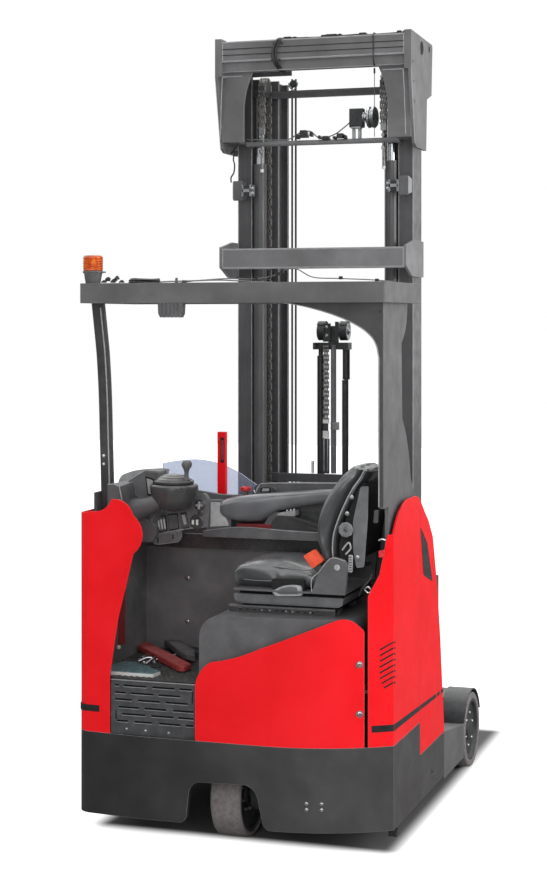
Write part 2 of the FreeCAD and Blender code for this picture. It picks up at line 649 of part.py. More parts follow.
def beam(name, rearBack, outTip, webOut, webIn, inTip, bottom, top):
    """Rail of I section."""
    near, far = back(rearBack), back(rearBack + d.railDeep)
    return prism(name, "XY", bottom, top - bottom, [
        (inTip, near), (outTip, near), (outTip, near + flange), (webOut, near + flange),
        (webOut, far - flange),
        (outTip, far - flange), (outTip, far), (inTip, far), (inTip, far - flange), (webIn, far - flange),
        (webIn, near + flange), (inTip, near + flange)])


rollerRadius = d.railDeep / 2 - flange - d.runGap
rollerBay = rollerRadius * 2 + 10
middleRear = d.mastRear + d.stageStep
innerRear = middleRear + d.stageStep
middleBottom, innerBottom = d.railBottom + 12, d.railBottom + 22
middleTop, innerTop = d.railTop - 4, d.railTop - 8
middleWebIn = d.middleWebX - d.middleWeb
innerWebIn = d.innerWebX - d.innerWeb


def roller(name, x, length, alongBack, height, stubX, stubLong):
    """Mast roller with the stub shaft that carries it."""
    wheel = rod(name + "Wheel", (x, back(alongBack), height), length, rollerRadius, "x")
    stub = rod(name + "Stub", (stubX, back(alongBack), height), stubLong, 20, "x")
    return [wheel, stub]


outerRail = channel("outerRail", d.mastRear, d.outerRailX, d.outerLegX, d.railBottom, d.railTop)
outerNotch = box("outerNotch", (d.outerLegX - 1, back(mastFront - flange - 1), d.railTop - rollerBay),
                 (d.outerRailX - d.railWeb, back(mastFront + 1), d.railTop + 1))
outerRollerZ = d.railTop - rollerRadius - 5
outerRoller = roller("outerRoller", d.middleWebX + 5, 36, middleRear + d.railDeep / 2, outerRollerZ,
                     d.middleWebX + 5, d.outerRailX - d.middleWebX - 5)
rightOuter = join("rightOuter", [carve("rightOuterRail", outerRail, [outerNotch])] + outerRoller)
node(group("outerRails", [rightOuter, mirror("leftOuter", rightOuter)]), "outer_rails")

headLow, headBack = 3245, 1143
headOut, headSkin, headEnd = 461, 14, 430
headBeam = box("headBeam", (-headEnd, back(headBack), headLow),
    (headEnd, back(headBack + 62), d.mastHigh - 15))
headLip = box("headLip", (-headEnd, back(headBack + 20), headLow - 44),
    (headEnd, back(headBack + 62), headLow))
headPlate = prism("headPlate", "YZ", headOut - headSkin, headSkin, [
    (back(headBack), 3175), (back(headBack + 72), 2855), (back(headBack + 107), 2840),
    (back(mastFront - 75), 2840),
    (back(mastFront - 60), 3076), (back(mastFront + 30), 3104), (back(mastFront + 50), d.mastHigh - 12, 16),
    (back(headBack), d.mastHigh)])
headRim = box("headRim", (headEnd, back(headBack), 3180), (headOut - headSkin, back(headBack + 66),
    d.mastHigh))
headSpacer = box("headSpacer", (d.outerRailX, back(d.mastRear), 2860),
    (headOut - headSkin, back(mastFront - 80), d.railTop))
gusset = prism("gusset", "XZ", back(headBack + 52), 14, [
    (headOut - headSkin, 2884), (headOut - headSkin, headLow + 6), (300, headLow + 6), (300, headLow - 50),
    ("arc", -420),
    (340, 2990), (340, 2884)])
gussetFoot = box("gussetFoot", (d.outerLegX + 20, back(headBack + 60), 2884),
    (headOut - headSkin, back(d.mastRear), 2898))
headHalf = join("headHalf", [headPlate, headRim, headSpacer, gusset, gussetFoot])
node(join("headFrame", [headBeam, headLip, headHalf, mirror("headHalfLeft", headHalf)]), "mast_head_frame")

midLow, midHigh, midEnd, midSkin = 2301, 2392, 440, 12
midBeam = box("midBeam", (-midEnd + midSkin, back(headBack), midLow),
    (midEnd - midSkin, back(headBack + 60), midHigh))
midPlate = prism("midPlate", "YZ", midEnd - midSkin, midSkin, [
    (back(headBack), midLow + 6), (back(headBack + 110), midLow - 38), (back(mastFront - 40), midLow - 38),
    (back(mastFront - 40), midHigh + 34), (back(headBack + 150), midHigh + 36),
    (back(headBack), midHigh + 8)])
midSpacer = box("midSpacer", (d.outerRailX, back(d.mastRear), midLow - 30),
    (midEnd - midSkin, back(mastFront - 40), midHigh + 30))
midHalf = join("midHalf", [midPlate, midSpacer])
crossTubeBack = d.mastRear - 32
crossTube = rod("crossTube", (-366, back(crossTubeBack), 2883), 732, 12, "x")
tubeEndRight = box("tubeEndRight", (342, back(crossTubeBack), 2871), (366, back(d.mastRear), 2895))
midFrame = join("midFrame", [midBeam, midHalf, mirror("midHalfLeft", midHalf)])
tieTube = join("tieTube", [crossTube, tubeEndRight, mirror("tubeEndLeft", tubeEndRight)])
node(group("midFrames", [midFrame, tieTube]), "mast_mid_frame")

# reach carriage that carries the mast between the arms
slotMid = (d.reachSlotLow + d.reachSlotHigh) / 2
slotRollerRadius = (d.reachSlotHigh - d.reachSlotLow) / 2 - d.runGap
sideInner = d.armInner - 34
crossPlate = box("crossPlate", (-sideInner, back(d.frontWallBack + 227), 95),
    (sideInner, back(d.mastRear), 330))
basePlate = box("basePlate", (-sideInner, back(d.frontWallBack + 227), 95),
    (sideInner, back(d.mastRear + 92), d.railBottom))
sidePlate = prism("sidePlate", "YZ", sideInner, 20, [
    (back(d.frontWallBack + 227), 95), (back(mastFront + 80), 95), (back(mastFront + 80), 250, 30),
    (back(mastFront - 60), 420, 30), (back(d.frontWallBack + 227), 420, 30)])
sideSpacer = box("sideSpacer", (d.outerRailX, back(d.mastRear), 113), (sideInner, back(mastFront - 62), 400))
slotRollers = []
for index, alongBack in enumerate((d.mastRear - 30, mastFront - 66)):
    slotRollers.append(rod(f"slotRoller{index}", (d.armInner + 2, back(alongBack), slotMid),
                           d.reachSlotDeep - 8, slotRollerRadius, "x"))
    slotRollers.append(rod(f"slotStub{index}", (sideInner, back(alongBack), slotMid),
                           d.armInner - sideInner + 10, 14, "x"))
rightCheek = join("rightCheek", [sidePlate, sideSpacer] + slotRollers)
barrelSeats = [rod(f"barrelSeat{index}", (side, back(d.mastRear + 15), d.railBottom), 400,
                   d.liftBarrelRadius + d.runGap) for index, side in enumerate((d.liftX, -d.liftX))]
node(carve("reachCarriage", join("reachSolid", [crossPlate, basePlate, rightCheek,
    mirror("leftCheek", rightCheek)]),
           barrelSeats), "reach_carriage")
node(rod("reachRod", (reachTubeX, back(675), reachTubeZ), d.frontWallBack + 227 - 675, 18, "y"), "reach_rod")

# main lift cylinders, their rods on the middle stage
liftBack = d.mastRear + 15
barrel = rod("barrel", (d.liftX, back(liftBack), d.railBottom), 2680, d.liftBarrelRadius)
barrelBore = rod("barrelBore", (d.liftX, back(liftBack), d.railBottom + 20), 2700, d.liftRodRadius + 1)
rightBarrel = carve("rightBarrel", barrel, [barrelBore])
node(group("liftCylinders", [rightBarrel, mirror("leftBarrel", rightBarrel)]), "lift_cylinders")
rightRod = rod("rightRod", (d.liftX, back(liftBack), 340), 2760, d.liftRodRadius)
rodHead = box("rodHead", (d.middleInX + 4, back(liftBack - 20), 3100),
    (d.middleInX + 44, back(middleRear), 3140))
rightRodWhole = join("rightRodWhole", [rightRod, rodHead])
node(group("liftRods", [rightRodWhole, mirror("leftRod", rightRodWhole)]), "lift_rods")

middleRail = beam("middleRail", middleRear, d.middleOutX, d.middleWebX, middleWebIn, d.middleInX,
    middleBottom, middleTop)
footBay = box("footBay", (d.middleWebX, back(middleRear - 1), middleBottom - 1),
              (d.middleOutX + 1, back(middleRear + d.railDeep + 1), middleBottom + rollerBay))
headBay = box("headBay", (d.middleInX - 1, back(middleRear + d.railDeep - flange - 1), middleTop - rollerBay),
              (middleWebIn, back(middleRear + d.railDeep + 1), middleTop + 1))
middleFootRoller = roller("middleFoot", d.outerLegX + 4, d.outerRailX - d.railWeb - d.outerLegX - 9,
                          d.mastRear + d.railDeep / 2, middleBottom + rollerRadius + 4, d.middleWebX, 20)
middleHeadRoller = roller("middleHead", d.innerWebX + 5, middleWebIn - d.innerWebX - 9,
    innerRear + d.railDeep / 2,
                          middleTop - rollerRadius - 5, d.innerWebX + 5, middleWebIn - d.innerWebX - 5)
rightMiddle = join("rightMiddle", [carve("rightMiddleRail", middleRail, [footBay, headBay])]
                   + middleFootRoller + middleHeadRoller)
middleTies = []
for index, (low, high) in enumerate(((150, 225), (3104, 3132))):
    middleTies.append(box(f"middleTie{index}", (-d.middleInX, back(middleRear), low),
                          (d.middleInX, back(middleRear + 22), high)))
node(join("middleStage", [rightMiddle, mirror("leftMiddle", rightMiddle)] + middleTies), "middle_rails")

innerRail = beam("innerRail", innerRear, d.innerOutX, d.innerWebX, innerWebIn, d.innerInX, innerBottom,
    innerTop)
innerFootBay = box("innerFootBay", (d.innerWebX, back(innerRear - 1), innerBottom - 1),
                   (d.innerOutX + 1, back(innerRear + d.railDeep + 1), innerBottom + rollerBay))
innerFootRoller = roller("innerFoot", d.middleInX + 4, middleWebIn - d.middleInX - 9,
                         middleRear + d.railDeep / 2, innerBottom + rollerRadius + 4, d.innerWebX, 20)
rightInner = join("rightInner", [carve("rightInnerRail", innerRail, [innerFootBay])] + innerFootRoller)
innerTies = []
for index, (low, high) in enumerate(((160, 220), (1310, 1350), (3115, 3142))):
    innerTies.append(box(f"innerTie{index}", (-d.innerWebX, back(innerRear - 22), low),
                         (d.innerWebX, back(innerRear), high)))
node(join("innerStage", [rightInner, mirror("leftInner", rightInner)] + innerTies), "inner_rails")

freeLiftBack = innerRear + 42
freeRodRadius = 11
freeBarrel = rod("freeBarrel", (-d.freeLiftX, back(freeLiftBack), innerBottom + 5),
    d.freeLiftTop - innerBottom - 5,
                 d.freeLiftRadius)
freeBore = rod("freeBore", (-d.freeLiftX, back(freeLiftBack), innerBottom + 30), d.freeLiftTop,
    freeRodRadius + 1)
freeFoot = box("freeFoot", (-d.freeLiftX - 24, back(innerRear), 160),
    (-d.freeLiftX + 24, back(freeLiftBack - 10), 220))
freeGuide = box("freeGuide", (-d.freeLiftX - 24, back(innerRear), 1310),
    (-d.freeLiftX + 24, back(freeLiftBack - 10), 1340))
node(carve("freeLift", join("freeLiftSolid", [freeBarrel, freeFoot, freeGuide]), [freeBore]),
    "free_lift_cylinder")
sheaveZ, sheaveRadius = 2014, 42
freeRod = rod("freeRod", (-d.freeLiftX, back(freeLiftBack), 640), 1300, freeRodRadius)
sideRod = rod("sideRod", (d.freeLiftX, back(freeLiftBack), 640), 1300, freeRodRadius - 2)
sideSleeve = rod("sideSleeve", (d.freeLiftX, back(freeLiftBack), 1790), 150, d.freeLiftRadius)
yoke = box("yoke", (-80, back(freeLiftBack - 30), 1930), (80, back(freeLiftBack + 30), 1962))
yokeSheaves = [rod(f"sheave{index}", (x, back(freeLiftBack), sheaveZ), 34, sheaveRadius, "x")
               for index, x in enumerate((-70, 36))]
sheaveCore = box("sheaveCore", (-20, back(freeLiftBack - 20), 1960), (20, back(freeLiftBack + 20), 2040))
sheavePin = rod("sheavePin", (-76, back(freeLiftBack), sheaveZ), 152, 12, "x")
node(join("freeRodHead", [freeRod, sideRod, sideSleeve, yoke, sheaveCore, sheavePin] + yokeSheaves),
    "free_lift_rod")

# ---------------------------------------------------------------- fork carriage, side shifter, forks

plateFront = back(d.mastRear + d.stageStep * 2 + d.railDeep + 9)
rollerBack = innerRear + d.railDeep / 2
carriagePlate = prism("carriagePlate", "YZ", d.innerInX - 22, 16, [
    (back(rollerBack - 50), d.carriageLow, 20), (plateFront, d.carriageLow), (plateFront, d.carriageHigh),
    (back(rollerBack - 50), d.carriageHigh, 20)])
carriageRollers = []
for index, height in enumerate((d.carriageLow + rollerRadius + 5, d.carriageHigh - rollerRadius - 5)):
    carriageRollers += roller(f"carriage{index}", d.innerInX + 4, innerWebIn - d.innerInX - 8,
                              rollerBack, height, d.innerInX - 6, 20)
rightHanger = join("rightHanger", [carriagePlate] + carriageRollers)
upperBar = box("upperBar", (-330, plateFront, 430), (330, plateFront + 25, d.carriageHigh))
lowerBar = box("lowerBar", (-330, plateFront, d.carriageLow), (330, plateFront + 25, 190))
node(join("carriage", [rightHanger, mirror("leftHanger", rightHanger), upperBar, lowerBar]), "fork_carriage")

shiftFace = plateFront + 25
shiftPads = []
for index, (lowX, lowZ, highZ) in enumerate(((-300, 440, 510), (200, 440, 510), (-300, 105, 180),
(200, 105, 180))):
    shiftPads.append(box(f"shiftPad{index}", (lowX, shiftFace + d.runGap, lowZ),
    (lowX + 100, shiftFace + 6, highZ)))
shiftPlate = prism("shiftPlate", "XZ", shiftFace + 5, 20, [
    (-350, d.carriageLow), (350, d.carriageLow), (350, d.carriageHigh - 20), (-350, d.carriageHigh - 20)],
    [(-240, 190), (-240, 420), (240, 420), (240, 190)])
hingeZ, hingeRadius = d.carriageHigh - 45, 14
hingeY = shiftFace + 52
lugs = []
for index, lowX in enumerate((-330, 300)):
    lugs.append(box(f"lug{index}", (lowX, shiftFace + 20, hingeZ - 22),
    (lowX + 30, hingeY + 10, hingeZ + 22)))
shiftPin = rod("shiftPin", (-330, hingeY, hingeZ), 660, hingeRadius, "x")
node(join("shifter", [shiftPlate, shiftPin] + shiftPads + lugs), "side_shifter")

barFront = back(d.mastRear + d.faceAhead - d.forkThick)
forkBarBlock = box("forkBarBlock", (-290, hingeY - 20, hingeZ - 30), (290, barFront, hingeZ + 30))
barBore = rod("barBore", (-291, hingeY, hingeZ), 582, hingeRadius + d.runGap, "x")
forkBarLow = box("forkBarLow", (-290, shiftFace + 40, d.carriageLow + 10), (290, barFront, 160))
barPosts = [box(f"barPost{index}", (lowX, shiftFace + 40, 160), (lowX + 60, barFront, hingeZ - 30))
            for index, lowX in enumerate((-290, 230))]
node(carve("forkFrame", join("forkFrameSolid", [forkBarBlock, forkBarLow] + barPosts), [barBore]),
    "fork_frame")

faceY = back(d.mastRear + d.faceAhead)
forkInner = d.forkGap / 2
fork = prism("fork", "YZ", forkInner, d.forkWide, [
    (barFront, d.forkLow, 12), (faceY + d.forkLong, d.forkLow), (faceY + d.forkLong, d.forkLow + 12),
    (faceY + d.forkLong * 0.6, d.forkLow + d.forkThick), (faceY, d.forkLow + d.forkThick),
    (faceY, d.carriageHigh - 15), (barFront, d.carriageHigh - 15)])
node(fork, "fork_right")
node(mirror("forkLeft", fork), "fork_left")

# ---------------------------------------------------------------- check and write

doc.recompute()
troubled = [thing.Name for thing in doc.Objects if "Invalid" in thing.State or "Error" in thing.State]
if troubled:
    raise RuntimeError("not built: " + ", ".join(troubled))
os.makedirs("parts", exist_ok=True)
for thing in nodes:
    if thing.Shape.isNull() or not thing.Shape.isValid():
        raise RuntimeError("bad shape: " + thing.Label)
    thing.Shape.exportStep(f"parts/{thing.Label}.step")
    print(f"{thing.Label:22s} {len(thing.Shape.Solids)} solids {thing.Shape.Volume / 1e6:9.2f} dm3")
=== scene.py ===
import json
import math

import bpy
import bmesh
import numpy as np
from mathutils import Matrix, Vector
from mathutils.bvhtree import BVHTree


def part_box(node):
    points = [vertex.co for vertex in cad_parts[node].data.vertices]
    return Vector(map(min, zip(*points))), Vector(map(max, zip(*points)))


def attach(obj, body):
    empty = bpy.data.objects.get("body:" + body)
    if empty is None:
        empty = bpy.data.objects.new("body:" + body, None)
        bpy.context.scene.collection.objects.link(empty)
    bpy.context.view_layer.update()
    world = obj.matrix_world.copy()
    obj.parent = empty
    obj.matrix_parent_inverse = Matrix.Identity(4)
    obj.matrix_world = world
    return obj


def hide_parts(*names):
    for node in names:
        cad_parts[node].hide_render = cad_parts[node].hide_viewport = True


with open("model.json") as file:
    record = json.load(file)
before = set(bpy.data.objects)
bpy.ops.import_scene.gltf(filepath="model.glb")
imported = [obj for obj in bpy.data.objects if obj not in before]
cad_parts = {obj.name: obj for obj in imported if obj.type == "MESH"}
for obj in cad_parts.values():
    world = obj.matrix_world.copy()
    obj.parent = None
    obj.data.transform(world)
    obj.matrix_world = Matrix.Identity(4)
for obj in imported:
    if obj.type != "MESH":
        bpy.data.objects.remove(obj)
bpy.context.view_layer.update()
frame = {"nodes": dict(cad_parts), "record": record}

scene = bpy.context.scene
nodes = frame["nodes"]


# places: millimetres from the truck's rear face, in metres of the shared frame

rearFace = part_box("rear_skirt")[0][1]


def spot(x, back, high):
    # a place in metres, from millimetres across, ahead of the rear face and above the floor
    return np.array([x / 1000, rearFace + back / 1000, high / 1000])


def spots(rows):
    # the same for a whole list of places
    rows = np.asarray(rows, float) / 1000
    rows[..., 1] += rearFace
    return rows


rightward, ahead, upward = (1.0, 0, 0), (0, 1.0, 0), (0, 0, 1.0)
rearward, downward = (0, -1.0, 0), (0, 0, -1.0)


# stage

# shadowMiddle, shadowHalf and shadowReach mark the truck's footprint on the floor, where a dark grey floor colour is a
# painted shadow
stage = {"cameraPlace": (2341.9, -6456.7, 2067.6), "cameraTurn": 18.35, "lens": 73.03, "shift": -0.133,
         "skyLevel": 0.50, "wallLevel": 0.25, "boxLevel": 2.6, "floorColour": "F6F6F6", "floorGlow": 0.9,
         "shadowMiddle": (0, -0.18, 0), "shadowHalf": (0.575, 1.03, 1.0), "shadowReach": 0.11,
         "paintedShadowColour": "7C7C7C", "floorGloss": "8C8C8C", "floorSize": 40.0}


def linear(colour):
    # an sRGB hex colour as linear red, green, blue and alpha: each channel c becomes ((c + 0.055) / 1.055) ^ 2.4
    channels = [int(colour[i:i + 2], 16) / 255 for i in (0, 2, 4)]
    return tuple(c / 12.92 if c < 0.04045 else ((c + 0.055) / 1.055) ** 2.4 for c in channels) + (1.0,)


def addNode(tree, kind, settings=None, **links):
    # adds a node; a setting is one of its properties or inputs, a link feeds an input from another node's output
    node = tree.nodes.new("ShaderNode" + kind)
    for name, value in (settings or {}).items():
        if name == "stops":
            ramp = node.color_ramp
            while len(ramp.elements) < len(value):
                ramp.elements.new(0.5)
            for element, (place, colour) in zip(ramp.elements, value):
                element.position = place
                element.color = linear(colour)
        elif isinstance(name, str) and hasattr(node, name):
            setattr(node, name, value)
        else:
            node.inputs[name].default_value = value
    for name, source in links.items():
        target = node.inputs[int(name[1:])] if name[1:].isdigit() else node.inputs[name.replace("_", " ")]
        tree.links.new(source, target)
    return node


def blankMaterial(name):
    material = bpy.data.materials.new(name)
    material.use_nodes = True
    tree = material.node_tree
    return material, tree, tree.nodes["Principled BSDF"]


camera = bpy.data.objects.new("camera", bpy.data.cameras.new("camera"))
scene.collection.objects.link(camera)
camera.location = spot(*stage["cameraPlace"])
camera.rotation_euler = (math.radians(90), 0, math.radians(stage["cameraTurn"]))
camera.data.lens = stage["lens"]
camera.data.shift_y = stage["shift"]
scene.camera = camera


def makeSky():
    # plain even light; the eye sees pure white, straight or through glass
    world = bpy.data.worlds.new("studio")
    scene.world = world
    world.use_nodes = True
    tree = world.node_tree
    path = addNode(tree, "LightPath")
    eye = addNode(tree, "Math", {"operation": "MAXIMUM"}, _0=path.outputs["Is Camera Ray"],
                  _1=path.outputs["Is Transmission Ray"])
    level = addNode(tree, "MapRange", {"To Min": stage["skyLevel"], "To Max": 1.0}, Value=eye.outputs[0])
    # mirrors see a soft box overhead and dim walls, so gloss keeps bright upper edges and dark flanks
    direction = addNode(tree, "TexCoord").outputs["Generated"]
    height = addNode(tree, "SeparateXYZ", Vector=direction)
    wall = addNode(tree, "MapRange", {"interpolation_type": "SMOOTHSTEP", "From Min": -0.3, "From Max": 0.6,
                                      "To Min": stage["wallLevel"], "To Max": 1.0}, Value=height.outputs["Y"])
    overhead = addNode(tree, "MapRange", {"interpolation_type": "SMOOTHSTEP", "From Min": 0.22, "From Max": 0.72,
                                          "To Max": stage["boxLevel"]}, Value=height.outputs["Z"],
                       To_Min=wall.outputs[0])
    mirrored = addNode(tree, "Math", {"operation": "SUBTRACT", "use_clamp": True}, _0=path.outputs["Is Glossy Ray"],
                       _1=path.outputs["Is Transmission Ray"])
    strength = addNode(tree, "Mix", {"data_type": "FLOAT"}, _0=mirrored.outputs[0], _2=level.outputs[0],
                       _3=overhead.outputs[0])
    background = tree.nodes["Background"]
    background.inputs["Color"].default_value = (1, 1, 1, 1)
    tree.links.new(strength.outputs[0], background.inputs["Strength"])


def makeLamp(name, place, aim, size, power):
    lamp = bpy.data.lights.new(name, "AREA")
    lamp.shape = "DISK"
    lamp.size = size
    lamp.energy = power
    holder = bpy.data.objects.new(name, lamp)
    scene.collection.objects.link(holder)
    holder.location = place
    direction = np.array(aim) - np.array(place)
    yaw = math.atan2(-direction[0], direction[1])
    pitch = math.atan2(np.hypot(direction[0], direction[1]), -direction[2])
    holder.rotation_euler = (pitch, 0, yaw)


def makeFloor():
    # pale studio floor: lit for shadow, with a glow for the eye so that it meets the white sky; over the truck's
    # footprint the glow is left off and the floor's colour turns dark grey: a painted shadow
    half = stage["floorSize"] / 2
    mesh = bpy.data.meshes.new("floor")
    mesh.from_pydata([(-half, -half, 0), (half, -half, 0), (half, half, 0), (-half, half, 0)], [], [(0, 1, 2, 3)])
    floor = bpy.data.objects.new("floor", mesh)
    scene.collection.objects.link(floor)
    material, tree, shader = blankMaterial("pale studio floor")
    shader.inputs["Roughness"].default_value = 0.95
    shader.inputs["Specular IOR Level"].default_value = 0.0
    shader.inputs["Emission Color"].default_value = (1, 1, 1, 1)
    path = addNode(tree, "LightPath")
    place = addNode(tree, "TexCoord").outputs["Object"]
    middle = addNode(tree, "VectorMath", {"operation": "SUBTRACT", 1: stage["shadowMiddle"]}, _0=place)
    away = addNode(tree, "VectorMath", {"operation": "ABSOLUTE"}, _0=middle.outputs[0])
    away = addNode(tree, "VectorMath", {"operation": "SUBTRACT", 1: stage["shadowHalf"]}, _0=away.outputs[0])
    away = addNode(tree, "VectorMath", {"operation": "MAXIMUM", 1: (0, 0, 0)}, _0=away.outputs[0])
    away = addNode(tree, "VectorMath", {"operation": "LENGTH"}, _0=away.outputs[0])
    glow = addNode(tree, "MapRange", {"interpolation_type": "SMOOTHSTEP", "From Max": stage["shadowReach"],
                                      "To Max": stage["floorGlow"]}, Value=away.outputs["Value"])
    # painted shadow: over the footprint the floor's colour turns to a dark grey
    near = addNode(tree, "MapRange", {"interpolation_type": "SMOOTHSTEP", "From Max": stage["shadowReach"]},
                   Value=away.outputs["Value"])
    shade = addNode(tree, "Mix",
                    {"data_type": "RGBA", 6: linear(stage["paintedShadowColour"]), 7: linear(stage["floorColour"])},
                    _0=near.outputs[0])
    # seen in gloss the floor is a dim grey, so that upright panels are not veiled
    mirrored = addNode(tree, "Math", {"operation": "SUBTRACT", "use_clamp": True}, _0=path.outputs["Is Glossy Ray"],
                       _1=path.outputs["Is Transmission Ray"])
    dim = addNode(tree, "Mix", {"data_type": "RGBA", 7: linear(stage["floorGloss"])}, _0=mirrored.outputs[0],
                  _6=shade.outputs[2])
    tree.links.new(dim.outputs[2], shader.inputs["Base Color"])
    seen = addNode(tree, "Math", {"operation": "MAXIMUM"}, _0=path.outputs["Is Camera Ray"],
                   _1=path.outputs["Is Transmission Ray"])
    eye = addNode(tree, "Math", {"operation": "MULTIPLY"}, _0=seen.outputs[0], _1=glow.outputs[0])
    tree.links.new(eye.outputs[0], shader.inputs["Emission Strength"])
    mesh.materials.append(material)


makeSky()
makeLamp("key", (3.4, -6.0, 4.4), (0.2, -0.6, 1.0), 3.2, 72)
makeLamp("front", (0.8, -6.5, 2.0), (0, -0.8, 1.1), 3.0, 46)
makeLamp("side", (6.5, -1.5, 3.0), (0.6, -0.6, 0.9), 3.0, 205)
makeLamp("fill", (-4.5, -4.5, 3.8), (0, -0.8, 1.2), 3.5, 28)
makeLamp("top", (0.4, 0.6, 7.5), (0, 0, 0), 3.0, 55)
makeFloor()
print("stage set")
